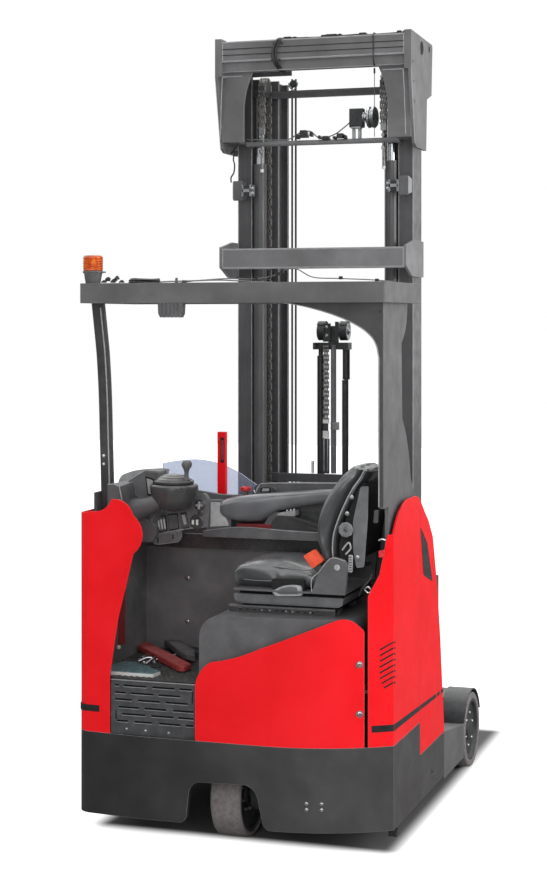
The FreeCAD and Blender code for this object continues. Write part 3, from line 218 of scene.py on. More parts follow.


# finishes: one dictionary for each; lengths in millimetres
# tones are its sRGB colours from dark to light, patch is the size of their slow drift, grain the size of the fine
# surface texture and depth its height, rough is the span of roughness, slot is the finish that it stands for,
# round is the radius of its rounded corners, and a paler colour, given last, is painted along them: a painted
# highlight.

finishes = {
    # powder-coated pressed sheet: one clean red with faint orange peel and a pale sheen at grazing angles
    "red powder coat": dict(slot="red_paint", tones="E30E17 EC131C F21C26", patch=260, grain=2.4, depth=0.035,
                            rough=(0.33, 0.42), gloss=0.16, round=2.5, edgeHighlight="F4575C"),
    # fine-textured powder coat on welded plate: sooty grey, matt, with a paler colour painted along its edges: a
    # painted highlight
    "grey powder coat": dict(slot="frame_grey", tones="505051 5B5B5C 686869", patch=170, grain=1.6, depth=0.06,
                             rough=(0.42, 0.58), round=3.0, edgeHighlight="8E8E90"),
    # the same grey sprayed on rolled mast channel: smoother, with long runs down the rails
    "mast satin coat": dict(slot="mast_steel", tones="404042 4B4B4D 59595B", patch=120, grain=3.0, depth=0.04,
                            rough=(0.30, 0.46), runs=9.0, round=2.5, edgeHighlight="A6A6A8"),
    # the grey made pale, as beads along welds, edges and slot lips: a painted highlight
    "pale highlight coat": dict(tones="88888A 9A9A9C ADADAF", patch=40, grain=2.0, depth=0.03, rough=(0.35, 0.5)),
    # painted forged fork: black with metal rubbed bare along the blade; the paler colour along its edges is a painted
    # highlight
    "fork enamel": dict(slot="fork_steel", tones="202021 2B2B2C 3B3B3C", patch=60, grain=2.0, depth=0.05,
                        rough=(0.35, 0.6), runs=6.0, round=4.0, edgeHighlight="9A9896"),
    # ground hard chrome on cylinder rods: bright, cold, with fine drawn lines
    "hard chrome": dict(slot="chrome_rod", tones="A9ACB0 BFC2C6 D2D5D8", patch=40, grain=0.8, depth=0.004,
                        rough=(0.12, 0.22), metal=1.0),
    # sand-cast iron under thin black paint: pebbled and uneven
    "cast iron": dict(slot="cast_housing", tones="1F2122 2A2C2D 393B3C", patch=50, grain=3.5, depth=0.22,
                      rough=(0.5, 0.72), round=3.0, edgeHighlight="6A6B6B"),
    # moulded black ABS: spark-eroded leather grain, soft even gloss
    "moulded ABS": dict(slot="black_plastic", tones="4A4A4C 575759 646466", patch=90, grain=1.9, depth=0.09,
                        rough=(0.40, 0.55), round=2.0, edgeHighlight="7B7B7D"),
    # ribbed rubber mat, its tone drifting at random, with a paler colour painted along its edges: a painted highlight
    "floor rubber": dict(slot="rubber_mat", tones="1C1C1C 2A2A2A 4A4947", patch=45, grain=2.5, depth=0.15,
                         rough=(0.62, 0.85), round=1.5, edgeHighlight="6B6A68"),
    # steel battery tray with acid-proof coat
    "battery coat": dict(slot="battery_case", tones="2A2C30 35373B 44464B", patch=80, grain=2.0, depth=0.08,
                         rough=(0.4, 0.6), round=2.0, edgeHighlight="74767A"),
    # bright zinc plating on screws and small brackets: pale, cold and slightly dull
    "zinc plate": dict(tones="9C9EA0 B7B9BB CFD1D2", patch=14, grain=0.9, depth=0.02, rough=(0.28, 0.42), metal=1.0),
    # cut vinyl film: flat charcoal with a soft even gloss
    "dark film": dict(tones="161617 1C1C1E 252527", patch=70, grain=1.2, depth=0.01, rough=(0.35, 0.45)),
    # stoved enamel on a blank steel plate: deep black, glossy
    "black enamel": dict(tones="232325 2B2B2D 363638", patch=60, grain=1.5, depth=0.012, rough=(0.22, 0.32), round=1.0,
                         edgeHighlight="5C5C5E"),
    # near-black and matt: dark joints and seals between panels, and painted shade in holes, slots, grooves and recesses
    "gap black and painted shade": dict(tones="0A0A0B 121213 1A1A1B", patch=30, grain=1.0, depth=0.05, rough=(0.8, 0.95)),
    # extruded cable sheath, soft PVC: black and grey, waxy
    "cable jacket": dict(tones="1C1C1D 262627 353536", patch=25, grain=0.7, depth=0.03, rough=(0.38, 0.52)),
    "grey cable": dict(tones="57595B 686A6C 7A7C7E", patch=25, grain=0.7, depth=0.03, rough=(0.42, 0.55)),
    # oiled leaf chain: rolled steel plates, brownish grease between them
    "chain steel": dict(tones="54524F 7A7876 A4A2A0", patch=12, grain=0.8, depth=0.03, rough=(0.30, 0.48), metal=0.75),
    # cured hose rubber with a cloth-wrapped skin
    "hose rubber": dict(tones="141414 1E1E1E 2C2C2C", patch=18, grain=0.9, depth=0.06, rough=(0.5, 0.65)),
    # moulded nylon, ivory white
    "white nylon": dict(tones="CFCFCA DEDEDA EAEAE7", patch=30, grain=0.8, depth=0.02, rough=(0.35, 0.45), round=0.8,
                        edgeHighlight="F4F4F2"),
    # pressed bare plate of small brackets, clear chromate: greyish, satin
    "bright steel": dict(tones="8A8C8E A3A5A7 BABCBE", patch=20, grain=0.9, depth=0.02, rough=(0.30, 0.44), metal=1.0),
    # the red coat painted dark on the cab's upright and posts: painted shade, the red as seen in the cab's shade
    "red coat in painted shade": dict(tones="6E1A20 82242A 962E34", patch=60, grain=1.6, depth=0.03, rough=(0.35, 0.48), round=1.5,
                         edgeHighlight="B4565A"),
    # signal red button and buckle, polished ABS
    "signal plastic": dict(tones="D8401F EA5230 F26A48", patch=20, grain=0.8, depth=0.01, rough=(0.25, 0.35), round=0.8,
                           edgeHighlight="F79C82"),
    # moulded pedal pads: three rubbers, with a paler colour painted along their rib edges: a painted highlight
    "teal pad": dict(tones="3F5A5E 557479 6F8F93", patch=30, grain=1.4, depth=0.08, rough=(0.55, 0.7), round=1.5,
                     edgeHighlight="A8B9BA"),
    "red pad": dict(tones="8A2A2C A43A3A B85452", patch=30, grain=1.4, depth=0.08, rough=(0.55, 0.7), round=1.5,
                    edgeHighlight="C9908E"),
    "grey pad": dict(tones="4A4B4C 5C5D5E 707172", patch=30, grain=1.4, depth=0.08, rough=(0.55, 0.7), round=1.5,
                     edgeHighlight="9A9B9C"),
    # cast wheel disc under dark green-black paint, greasy round its bolts
    "hub paint": dict(tones="131A17 1D2622 2B3531", patch=30, grain=2.2, depth=0.12, rough=(0.42, 0.6), round=2.5,
                      edgeHighlight="56605B"),
    # pressed clear lamp glass over its reflector: bright milky white
    "lamp window": dict(tones="C9CDD2 DBDEE2 ECEEF0", patch=12, grain=2.5, depth=0.15, rough=(0.08, 0.16)),
    # deep-drawn glossy ABS of bowls, knobs and keys: dark, its highlight partly its gloss and partly a paler colour
    # painted along its edges
    "gloss ABS": dict(tones="3A3A3B 434344 4D4D4E", patch=80, grain=1.2, depth=0.01, rough=(0.20, 0.28), round=2.0,
                      edgeHighlight="88888A"),
    # textured facia plastic, a step lighter than the mouldings round it
    "facia ABS": dict(tones="58595B 666769 747577", patch=60, grain=1.8, depth=0.10, rough=(0.45, 0.6), round=2.2,
                      edgeHighlight="9C9C9E"),
    # pale grey moulded levers, rims and small keys; also pale beads along edges: a painted highlight
    "light ABS and painted highlight": dict(tones="8E9092 A2A4A6 B6B8BA", patch=30, grain=1.2, depth=0.03, rough=(0.35, 0.5), round=1.2,
                      edgeHighlight="D2D3D4"),
    # ribbed hand knob, mid grey
    "knob ABS": dict(tones="5C5E60 6E7072 808284", patch=20, grain=1.2, depth=0.05, rough=(0.4, 0.55), round=1.2,
                     edgeHighlight="B0B2B4"),
    # the mast's grey, made lighter on its beams than on the rails, and lighter still on the cross beam: painted light
    "mast grey lit on beams": dict(tones="5C5C5D 69696A 78787A", patch=200, grain=1.6, depth=0.06, rough=(0.40, 0.55), round=3.0,
                      edgeHighlight="A2A2A4"),
    "mast grey lit brighter on cross beam": dict(tones="666667 757577 868688", patch=200, grain=1.6, depth=0.06, rough=(0.40, 0.55),
                            round=3.0, edgeHighlight="B2B2B4"),
    # pressed riser, sprayed satin black, with a paler colour painted along its edges: a painted highlight
    "riser coat": dict(tones="363738 424345 505153", patch=40, grain=1.4, depth=0.06, rough=(0.34, 0.5), round=1.4,
                       edgeHighlight="8C8E90"),
    # dark satin coat of the guard's gusset, pillar and the wheel fenders
    "gusset coat": dict(tones="313132 3C3C3D 4A4A4B", patch=90, grain=1.5, depth=0.05, rough=(0.30, 0.44), round=3.0,
                        edgeHighlight="8E8E90"),
    # deep-drawn battery hood, satin moulding; the shine along its rolled edge is partly its gloss and partly a paler
    # colour painted along the edge: a painted highlight
    "hood ABS": dict(tones="3C3D3E 494A4B 565758", patch=120, grain=1.2, depth=0.03, rough=(0.22, 0.32), round=3.0,
                     edgeHighlight="88898A"),
    # pale grey of fine beads along edges: a painted highlight
    "painted edge highlight": dict(tones="868688 9A9A9C B0B0B2", patch=30, grain=1.2, depth=0.02, rough=(0.35, 0.5), round=0.8,
                        edgeHighlight="C8C8CA"),
    # bare pale plate, its print left off: off-white lacquer
    "pale plate": dict(tones="BDBFC0 CFD0D1 DFE0E0", patch=25, grain=1.5, depth=0.02, rough=(0.35, 0.5), round=1.0,
                       edgeHighlight="F0F0F0"),
    # stop button, bright moulded red
    "signal red": dict(tones="B81620 D0202A E0424A", patch=20, grain=0.8, depth=0.01, rough=(0.25, 0.35), round=0.8,
                       edgeHighlight="F09090"),
    # textured coat of the low skirt: darker than the plates above it, and darker towards its left: painted shade
    "skirt coat": dict(tones="323233 3D3D3E 4A4A4B", leftShade=0.42, patch=240, grain=1.8, depth=0.07, rough=(0.30, 0.44),
                       round=3.0, edgeHighlight="9A9A9C"),
    # lining sheet of the cab: pressed and sprayed grey, streaked by its stamping, and made lighter to make up for the
    # shade inside the cab: painted light
    "lining coat lightened for shade": dict(tones="5C5C5D 6C6C6D 7E7E80", patch=150, grain=1.6, depth=0.05, rough=(0.42, 0.55), round=2.0,
                        edgeHighlight="9C9C9E"),
    # black paint on the free lift's castings and guards, oily
    "lift paint": dict(tones="1B1C1E 28292B 38393B", patch=30, grain=1.8, depth=0.08, rough=(0.32, 0.5), round=1.5,
                       edgeHighlight="7C7E80"),
}


def makeFinish(name, recipe):
    # paint, plastic or metal: a slow noise drifts the colour, a second one the gloss, a fine one is the grain
    material, tree, shader = blankMaterial(name)
    place = addNode(tree, "TexCoord").outputs["Object"]
    drift = addNode(tree, "TexNoise", {"Scale": 1000 / recipe["patch"], "Detail": 4.0, "Roughness": 0.6}, Vector=place)
    drive = drift.outputs["Fac"]
    if "runs" in recipe:  # long vertical runs: the pattern is stretched up the part
        stretched = addNode(tree, "Mapping", {"Scale": (1, 1, 0.04)}, Vector=place)
        runs = addNode(tree, "TexNoise", {"Scale": 1000 / recipe["runs"], "Detail": 2.0}, Vector=stretched.outputs[0])
        both = addNode(tree, "Mix", {"data_type": "FLOAT", "Factor": 0.45}, _2=drive, _3=runs.outputs["Fac"])
        drive = both.outputs[0]
    stops = list(zip((0.25, 0.5, 0.75), recipe["tones"].split()))
    ramp = addNode(tree, "ValToRGB", {"stops": stops}, Fac=drive)
    colour = ramp.outputs["Color"]
    if "leftShade" in recipe:  # darker towards the left: painted shade
        level = addNode(tree, "SeparateXYZ", Vector=place)
        across = addNode(tree, "MapRange", {"interpolation_type": "SMOOTHSTEP", "From Min": -0.64, "From Max": 0.45,
                                            "To Min": recipe["leftShade"], "To Max": 1.0}, Value=level.outputs["X"])
        leftShaded = addNode(tree, "VectorMath", {"operation": "SCALE"}, _0=colour, Scale=across.outputs[0])
        colour = leftShaded.outputs[0]
    gloss = addNode(tree, "TexNoise", {"Scale": 1000 / (recipe["patch"] * 0.37), "Detail": 3.0}, Vector=place)
    low, high = recipe["rough"]
    rough = addNode(tree, "MapRange", {"From Min": 0.3, "From Max": 0.7, "To Min": low, "To Max": high},
                    Value=gloss.outputs["Fac"])
    tree.links.new(rough.outputs[0], shader.inputs["Roughness"])
    grain = addNode(tree, "TexNoise", {"Scale": 1000 / recipe["grain"], "Detail": 1.0}, Vector=place)
    bump = addNode(tree, "Bump", {"Strength": 1.0, "Distance": recipe["depth"] / 1000}, Height=grain.outputs["Fac"])
    # a paler colour mixed in along corners, where the bevelled normal turns from the flat one: a painted highlight
    if "round" in recipe:
        corner = addNode(tree, "Bevel", {"samples": 4, "Radius": recipe["round"] / 1000})
        tree.links.new(corner.outputs[0], bump.inputs["Normal"])
        flat = addNode(tree, "NewGeometry").outputs["Normal"]
        turn = addNode(tree, "VectorMath", {"operation": "DOT_PRODUCT"}, _0=corner.outputs[0], _1=flat)
        edge = addNode(tree, "MapRange", {"From Min": 0.97, "From Max": 0.80, "To Min": 0.0, "To Max": 1.0},
                       Value=turn.outputs["Value"])
        edgeHighlight = addNode(tree, "Mix", {"data_type": "RGBA"}, _0=edge.outputs[0], _6=colour)
        edgeHighlight.inputs[7].default_value = linear(recipe["edgeHighlight"])
        colour = edgeHighlight.outputs[2]
    tree.links.new(bump.outputs[0], shader.inputs["Normal"])
    tree.links.new(colour, shader.inputs["Base Color"])
    shader.inputs["Metallic"].default_value = recipe.get("metal", 0.0)
    if "gloss" in recipe:
        shader.inputs["Specular IOR Level"].default_value = recipe["gloss"]
    return material


materials = {name: makeFinish(name, recipe) for name, recipe in finishes.items()}


def makeTread():
    # cast polyurethane on a steel band: warm grey, scuffed across its width, grimy towards its edges
    material, tree, shader = blankMaterial("cast polyurethane")
    place = addNode(tree, "TexCoord").outputs["Object"]
    scuffs = addNode(tree, "TexNoise", {"Scale": 55.0, "Detail": 5.0, "Roughness": 0.7}, Vector=place)
    ramp = addNode(tree, "ValToRGB", {"stops": [(0.3, "605B5B"), (0.55, "787272"), (0.8, "8E8787")]},
                   Fac=scuffs.outputs["Fac"])
    tree.links.new(ramp.outputs["Color"], shader.inputs["Base Color"])
    bump = addNode(tree, "Bump", {"Strength": 1.0, "Distance": 0.0003}, Height=scuffs.outputs["Fac"])
    tree.links.new(bump.outputs[0], shader.inputs["Normal"])
    shader.inputs["Roughness"].default_value = 0.6
    return material


def makeVinyl(name, dark, mid, light):
    # upholstery vinyl: fine leather grain of about 1.6 mm cells, broad soft sheen, paler where it is stretched
    material, tree, shader = blankMaterial(name)
    place = addNode(tree, "TexCoord").outputs["Object"]
    cells = addNode(tree, "TexVoronoi", {"feature": "DISTANCE_TO_EDGE", "Scale": 620.0}, Vector=place)
    drift = addNode(tree, "TexNoise", {"Scale": 9.0, "Detail": 4.0}, Vector=place)
    ramp = addNode(tree, "ValToRGB", {"stops": [(0.3, dark), (0.55, mid), (0.8, light)]}, Fac=drift.outputs["Fac"])
    tree.links.new(ramp.outputs["Color"], shader.inputs["Base Color"])
    bump = addNode(tree, "Bump", {"Strength": 0.7, "Distance": 0.00025}, Height=cells.outputs["Distance"])
    wide = addNode(tree, "TexNoise", {"Scale": 24.0, "Detail": 2.0}, Vector=place)
    slack = addNode(tree, "Bump", {"Strength": 0.35, "Distance": 0.004}, Height=wide.outputs["Fac"],
                    Normal=bump.outputs[0])
    tree.links.new(slack.outputs[0], shader.inputs["Normal"])
    shader.inputs["Roughness"].default_value = 0.34
    shader.inputs["Coat Weight"].default_value = 0.6
    shader.inputs["Coat Roughness"].default_value = 0.16
    return material


def makeScreenClear():
    # clear polycarbonate sheet with a cool tint: lets the white behind it through a little greyer
    material, tree, shader = blankMaterial("clear polycarbonate")
    place = addNode(tree, "TexCoord").outputs["Object"]
    haze = addNode(tree, "TexNoise", {"Scale": 6.0, "Detail": 3.0}, Vector=place)
    rough = addNode(tree, "MapRange", {"To Min": 0.03, "To Max": 0.10}, Value=haze.outputs["Fac"])
    tree.links.new(rough.outputs[0], shader.inputs["Roughness"])
    shader.inputs["Base Color"].default_value = linear("BFC7D9")
    shader.inputs["Transmission Weight"].default_value = 0.75
    shader.inputs["IOR"].default_value = 1.1
    return material


def makeAmber():
    # moulded amber lens, lit through by the sky
    material, tree, shader = blankMaterial("amber lens")
    place = addNode(tree, "TexCoord").outputs["Object"]
    mottle = addNode(tree, "TexNoise", {"Scale": 60.0, "Detail": 2.0}, Vector=place)
    ramp = addNode(tree, "ValToRGB", {"stops": [(0.3, "BE4604"), (0.6, "DE5E0A"), (0.8, "F08A20")]},
                   Fac=mottle.outputs["Fac"])
    tree.links.new(ramp.outputs["Color"], shader.inputs["Base Color"])
    shader.inputs["Roughness"].default_value = 0.18
    shader.inputs["Transmission Weight"].default_value = 0.12
    return material


materials["cast polyurethane"] = makeTread()
materials["upholstery vinyl"] = makeVinyl("upholstery vinyl", "404244", "4B4D4F", "58595B")
materials["arm vinyl"] = makeVinyl("arm vinyl", "62646A", "707274", "808284")
# piping: the seat's vinyl made lighter, so that the seams show as a painted highlight
materials["piping vinyl with painted highlight"] = makeVinyl("piping vinyl with painted highlight", "5A5C5E", "6C6E70", "808284")
materials["clear polycarbonate"] = makeScreenClear()
materials["amber lens"] = makeAmber()

slotMaterials = {recipe["slot"]: name for name, recipe in finishes.items() if "slot" in recipe}
slotMaterials.update({"polyurethane_tread": "cast polyurethane", "seat_vinyl": "upholstery vinyl",
                      "clear_screen": "clear polycarbonate", "amber_lens": "amber lens", "pedal_pads": "floor rubber"})
ownFinish = {"rear_skirt": "skirt coat", "cab_walls": "lining coat lightened for shade", "free_lift_rod": "lift paint",
             "free_lift_cylinder": "lift paint", "mast_head_frame": "mast grey lit on beams", "mast_mid_frame": "mast grey lit brighter on cross beam",
             "battery_hood": "hood ABS", "wheel_fender_right": "lift paint", "wheel_fender_left": "lift paint"}
for part in frame["record"]["subparts"]:
    for place in nodes[part["node"]].material_slots:
        place.material = materials[ownFinish.get(part["node"], slotMaterials[part["material_slot"]])]
print("finishes made")


# shapes: each is (points in millimetres across, ahead and up, faces)


def merge(*shapes):
    points, faces, start = [], [], 0
    for some, rows in shapes:
        points.append(np.asarray(some, float))
        faces += [tuple(int(i) + start for i in row) for row in rows]
        start += len(some)
    return np.concatenate(points), faces


def loft(rings, ends=True, closed=False):
    # a skin over a grid of points: row after row of rings, quads between neighbours; the ends are flat caps
    rings = np.asarray(rings, float)
    rows, columns = rings.shape[:2]
    r, c = np.meshgrid(np.arange(rows if closed else rows - 1), np.arange(columns), indexing="ij")
    nextR, nextC = (r + 1) % rows, (c + 1) % columns
    quads = np.stack([r * columns + c, r * columns + nextC, nextR * columns + nextC, nextR * columns + c], -1)
    faces = [tuple(q) for q in quads.reshape(-1, 4)]
    if ends and not closed:
        faces.append(tuple(range(columns))[::-1])
        faces.append(tuple(range((rows - 1) * columns, rows * columns)))
    return rings.reshape(-1, 3), faces


def frameOf(axis):
    # two directions square to an axis and to each other
    axis = np.asarray(axis, float) / np.linalg.norm(axis)
    helper = np.array([0, 0, 1.0]) if abs(axis[2]) < 0.9 else np.array([0, 1.0, 0])
    side = np.cross(helper, axis)
    side /= np.linalg.norm(side)
    return axis, side, np.cross(axis, side)


def turned(profile, centre, axis, sides=32):
    # a profile of (distance along the axis, radius) turned round it: centre + along * axis + radius * (cos, sin)
    profile = np.asarray(profile, float)
    axis, side, up = frameOf(axis)
    turn = np.linspace(0, 2 * np.pi, sides, endpoint=False)
    ring = np.cos(turn)[:, None] * side + np.sin(turn)[:, None] * up
    rings = np.asarray(centre, float) + profile[:, 0, None, None] * axis + profile[:, 1, None, None] * ring
    return loft(rings)


def smoothed(points, count):
    # a smooth line through points: Catmull-Rom, four neighbours weighed by cubic polynomials of the step
    points = np.asarray(points, float)
    padded = np.concatenate([[2 * points[0] - points[1]], points, [2 * points[-1] - points[-2]]])
    place = np.linspace(0, len(points) - 1, count)
    step = np.minimum(place.astype(int), len(points) - 2)
    t = (place - step)[:, None]
    a, b, c, d = (padded[step + k] for k in range(4))
    return 0.5 * (2 * b + (c - a) * t + (2 * a - 5 * b + 4 * c - d) * t ** 2 + (3 * b - a - 3 * c + d) * t ** 3)


def swept(profile, path, face=None):
    # a closed profile carried along a path, square to it: path + u * side + v * up at every step.
    # face is the direction that the profile's first axis leans towards.
    path = np.asarray(path, float)
    profile = np.asarray(profile, float)
    along = np.gradient(path, axis=0)
    along /= np.linalg.norm(along, axis=1)[:, None]
    if face is None:  # the flattest direction of the whole path stays square to every step
        face = np.linalg.svd(path - path.mean(0) + 1e-6 * np.arange(len(path))[:, None] ** 2)[2][2]
    side = face - (along @ np.asarray(face, float))[:, None] * along
    side /= np.linalg.norm(side, axis=1)[:, None]
    up = np.cross(along, side)
    return loft(path[:, None] + profile[None, :, :1] * side[:, None] + profile[None, :, 1:] * up[:, None])


def circle(radius, sides=8):
    turn = np.linspace(0, 2 * np.pi, sides, endpoint=False)
    return np.stack([radius * np.cos(turn), radius * np.sin(turn)], 1)


def tube(points, radius, steps=24, sides=8, face=None):
    return swept(circle(radius, sides), smoothed(points, steps), face)


def block(low, high):
    (x0, y0, z0), (x1, y1, z1) = low, high
    points = [(x0, y0, z0), (x1, y0, z0), (x1, y1, z0), (x0, y1, z0), (x0, y0, z1), (x1, y0, z1), (x1, y1, z1),
              (x0, y1, z1)]
    return np.array(points, float), [(0, 3, 2, 1), (4, 5, 6, 7), (0, 1, 5, 4), (1, 2, 6, 5), (2, 3, 7, 6), (3, 0, 4, 7)]


def slab(outline, normal, start, end):
    # a flat outline given thickness: its two numbers fill the axes that the normal leaves free
    outline = np.asarray(outline, float)
    free = [axis for axis in range(3) if axis != normal]
    rings = np.zeros((2, len(outline), 3))
    rings[:, :, free] = outline
    rings[0, :, normal], rings[1, :, normal] = start, end
    return loft(rings)


def rounded(corners, radius, steps=5):
    # a closed outline with each corner cut back by radius and bridged by a quadratic curve through it
    corners = np.asarray(corners, float)
    radius = np.broadcast_to(radius, len(corners))[:, None]
    before, after = np.roll(corners, 1, 0) - corners, np.roll(corners, -1, 0) - corners
    first = corners + before / np.linalg.norm(before, axis=1)[:, None] * radius
    last = corners + after / np.linalg.norm(after, axis=1)[:, None] * radius
    t = np.linspace(0, 1, steps)[None, :, None]
    curve = (1 - t) ** 2 * first[:, None] + 2 * t * (1 - t) * corners[:, None] + t ** 2 * last[:, None]
    return curve.reshape(-1, corners.shape[1])


def moulding(corners, radius, near, far, steps=4):
    # a flat outline seen from the rear, its corners rounded, from its near face to its far one
    return slab(rounded(corners, radius, steps), 1, near, far)


def repeated(shape, places):
    # copies of one shape at many places, as one array sum
    points, faces = shape
    points = np.asarray(points, float)
    places = np.asarray(places, float)
    count = len(points)
    every = (places[:, None] + points[None]).reshape(-1, 3)
    return every, [tuple(i + n * count for i in face) for n in range(len(places)) for face in faces]


def bolt(place, axis, radius, high=None):
    # a domed head with a socket, standing on its washer
    high = high or radius * 0.7
    return turned([(0, radius * 1.45), (high * 0.22, radius * 1.45), (high * 0.25, radius), (high * 0.7, radius),
                   (high, radius * 0.72), (high, radius * 0.42), (high * 0.55, radius * 0.38)], place, axis, 14)


def piece(name, parts, body, bevel=0.0, replaces=(), soft=35):
    # makes one piece from (shape, material name) parts, smooth except where it turns by more than soft degrees
    shapes = [part[0] for part in parts]
    points, faces = merge(*shapes)
    mesh = bpy.data.meshes.new(name)
    mesh.from_pydata(spots(points).tolist(), [], faces)
    names = list(dict.fromkeys(part[1] for part in parts))
    for one in names:
        mesh.materials.append(materials[one])
    marks = np.concatenate([np.full(len(part[0][1]), names.index(part[1])) for part in parts])
    mesh.polygons.foreach_set("material_index", marks.astype(np.int32))
    build = bmesh.new()
    build.from_mesh(mesh)
    bmesh.ops.recalc_face_normals(build, faces=build.faces)
    build.to_mesh(mesh)
    build.free()
    mesh.shade_smooth()
    mesh.set_sharp_from_angle(angle=math.radians(soft))
    made = bpy.data.objects.new(name, mesh)
    scene.collection.objects.link(made)
    if bevel:
        edge = made.modifiers.new("rounded edges", "BEVEL")
        edge.width = bevel / 1000
        edge.segments = 2
        edge.limit_method = "ANGLE"
        edge.angle_limit = math.radians(40)
        edge.use_clamp_overlap = True
    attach(made, body)
    if replaces:
        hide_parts(*replaces)
    return made


# wheels

drive = {"middle": (-27, 247, 172), "radius": 172, "wide": 128, "shoulder": 14, "band": 150, "studs": 8}


def wheelProfile(half, radius, shoulder, band, hub, recess):
    # a tyre's section: a slightly crowned tread, a round shoulder, the tyre's side, then the steel band and disc
    turn = np.linspace(0, np.pi / 2, 6)
    tread = [(-half + shoulder + (half - shoulder) * 2 * t, radius - 1.5 * (2 * t - 1) ** 2)
             for t in np.linspace(0, 1, 7)]
    right = [(half - shoulder + shoulder * math.sin(a), radius - 1.5 - shoulder * (1 - math.cos(a))) for a in turn[1:]]
    side = [(half - 1, band + 4), (half - 3, band)]
    rim = [(half - 4, band - 1), (half - 4, band - 12), (half - recess, band - 18), (half - recess, hub),
           (half - recess + 6, hub - 3)]
    left = [(-along, away) for along, away in (right + side)]
    return tread, right + side, left, rim


def makeWheel(name, middle, half, radius, shoulder, band, hub, recess, studs, body, node):
    tread, right, left, rim = wheelProfile(half, radius, shoulder, band, hub, recess)
    x, back, high = middle
    tyre = turned([(0, band)] + [(a, r) for a, r in left[::-1]] + tread + right + [(0.5, band)], middle, rightward, 64)
    disc = rim[:-1] + [(half - recess, 1)]
    hubDisc = turned([(-a, r) for a, r in disc[::-1]] + disc, middle, rightward, 48)
    parts = [(tyre, "cast polyurethane"), (hubDisc, "cast iron")]
    for sign in (1, -1):
        face = sign * (half - recess)
        parts.append((turned([(0, hub * 0.52), (sign * 9, hub * 0.5), (sign * 11, hub * 0.4), (sign * 11, 2)],
                             (x + face, back, high), rightward, 24), "cast iron"))
        for n in range(studs):
            turn = 2 * math.pi * (n + 0.3) / studs
            place = (x + face, back + hub * 0.8 * math.cos(turn), high + hub * 0.8 * math.sin(turn))
            parts.append((bolt(place, (sign, 0, 0), 6.5, 8), "zinc plate"))
    return piece(name, parts, body, replaces=[node])


makeWheel("drive_tyre", drive["middle"], drive["wide"] / 2, drive["radius"], drive["shoulder"], drive["band"], 84, 26,
          drive["studs"], "drive_wheel_body", "drive_wheel")

load = {"middle": (582.5, 1617, 171.5), "radius": 171.5, "wide": 105, "shoulder": 12, "band": 140, "studs": 6}
for sideName, sign in (("right", 1), ("left", -1)):
    x, back, high = load["middle"]
    makeWheel("load_tyre_" + sideName, (sign * x, back, high), load["wide"] / 2, load["radius"], load["shoulder"],
              load["band"], 92, 20, load["studs"], "load_wheel_%s_body" % sideName, "load_wheel_" + sideName)
print("wheels made")


# trim on the painted body

skin = {"side": 635, "sweepStart": 150, "sweepRadius": 800, "slopeStart": -345, "slopeWide": 240, "slopeDeep": 20}


def rearSkin(x):
    # how far ahead the rear face lies at x: flat in the middle, an 800 mm circle to the right, a slope to the left
    x = np.asarray(x, float)
    swing = skin["sweepRadius"] - np.sqrt(skin["sweepRadius"] ** 2 - np.clip(x - skin["sweepStart"], 0, None) ** 2)
    slope = (skin["slopeStart"] - x) / skin["slopeWide"] * skin["slopeDeep"]
    return np.where(x < skin["slopeStart"], slope, swing)


def ribbon(path, lows, highs, proud, inward):
    # a film on a wall: the path's points spread between a low and a high edge, lifted off by its thickness
    path, inward = np.asarray(path, float), np.asarray(inward, float)
    rows = []
    for depth in (proud, -0.4):
        outer = path - inward * depth
        rows.append(np.column_stack([outer, lows]))
        rows.append(np.column_stack([outer, highs]))
    rings = np.stack([rows[0], rows[1], rows[3], rows[2]], 1)
    return loft(rings)


stripe = {"thick": 0.7, "tall": 26, "taper": 12, "run": 865, "start": 508, "slope": -0.034, "rightBegin": 164,
          "leftBegin": 60, "leftLift": 24, "dashes": ((598, 880), (900, 945), (972, 1012))}


def film(path, inward, begin, lift):
    # one length of film: upper edge = start + lift + slope * way forward, height = tall - taper * way forward / run
    forward = np.array([max(y - begin, 0) for x, y in path])
    high = stripe["start"] + lift + forward * stripe["slope"]
    tall = stripe["tall"] - stripe["taper"] * forward / stripe["run"]
    return ribbon(path, high - tall, high, stripe["thick"], inward), "dark film"


def makeStripes():
    # dark film round each rear corner and along the doors; it thins forward and breaks up at its end
    wall, reach = skin["side"], stripe["rightBegin"]
    path = [(x, rearSkin(x)) for x in np.linspace(560, 634.4, 9)] + [(wall, y) for y in (170, 260, 400, 540, 586)]
    parts = [film(path, [(-0.42, 0.9)] * 9 + [(-1, 0)] * 5, reach, 0)]
    parts += [film([(wall, y) for y in np.linspace(*dash, 5)], [(-1, 0)] * 5, reach, 0) for dash in stripe["dashes"]]
    reach, lift = stripe["leftBegin"], stripe["leftLift"]
    path = [(x, rearSkin(x)) for x in np.linspace(-536, -585, 4)]
    inward = [(0, 1)] * 4
    for a in np.linspace(0.2, 1, 6) * math.pi / 2:
        path.append((-585 - 50 * math.sin(a), 60 - 40 * math.cos(a)))
        inward.append((math.sin(a), math.cos(a)))
    path += [(-wall, y) for y in (150, 300, 450, 586)]
    parts.append(film(path, inward + [(1, 0)] * 4, reach, lift))
    parts += [film([(-wall, y) for y in np.linspace(*dash, 5)], [(1, 0)] * 5, reach, lift) for dash in stripe["dashes"]]
    piece("side_stripes", parts, "chassis")


makeStripes()

plate = {"corners": [(598, 1222), (713, 1142), (808, 969), (650, 1018)], "thick": 1.6}


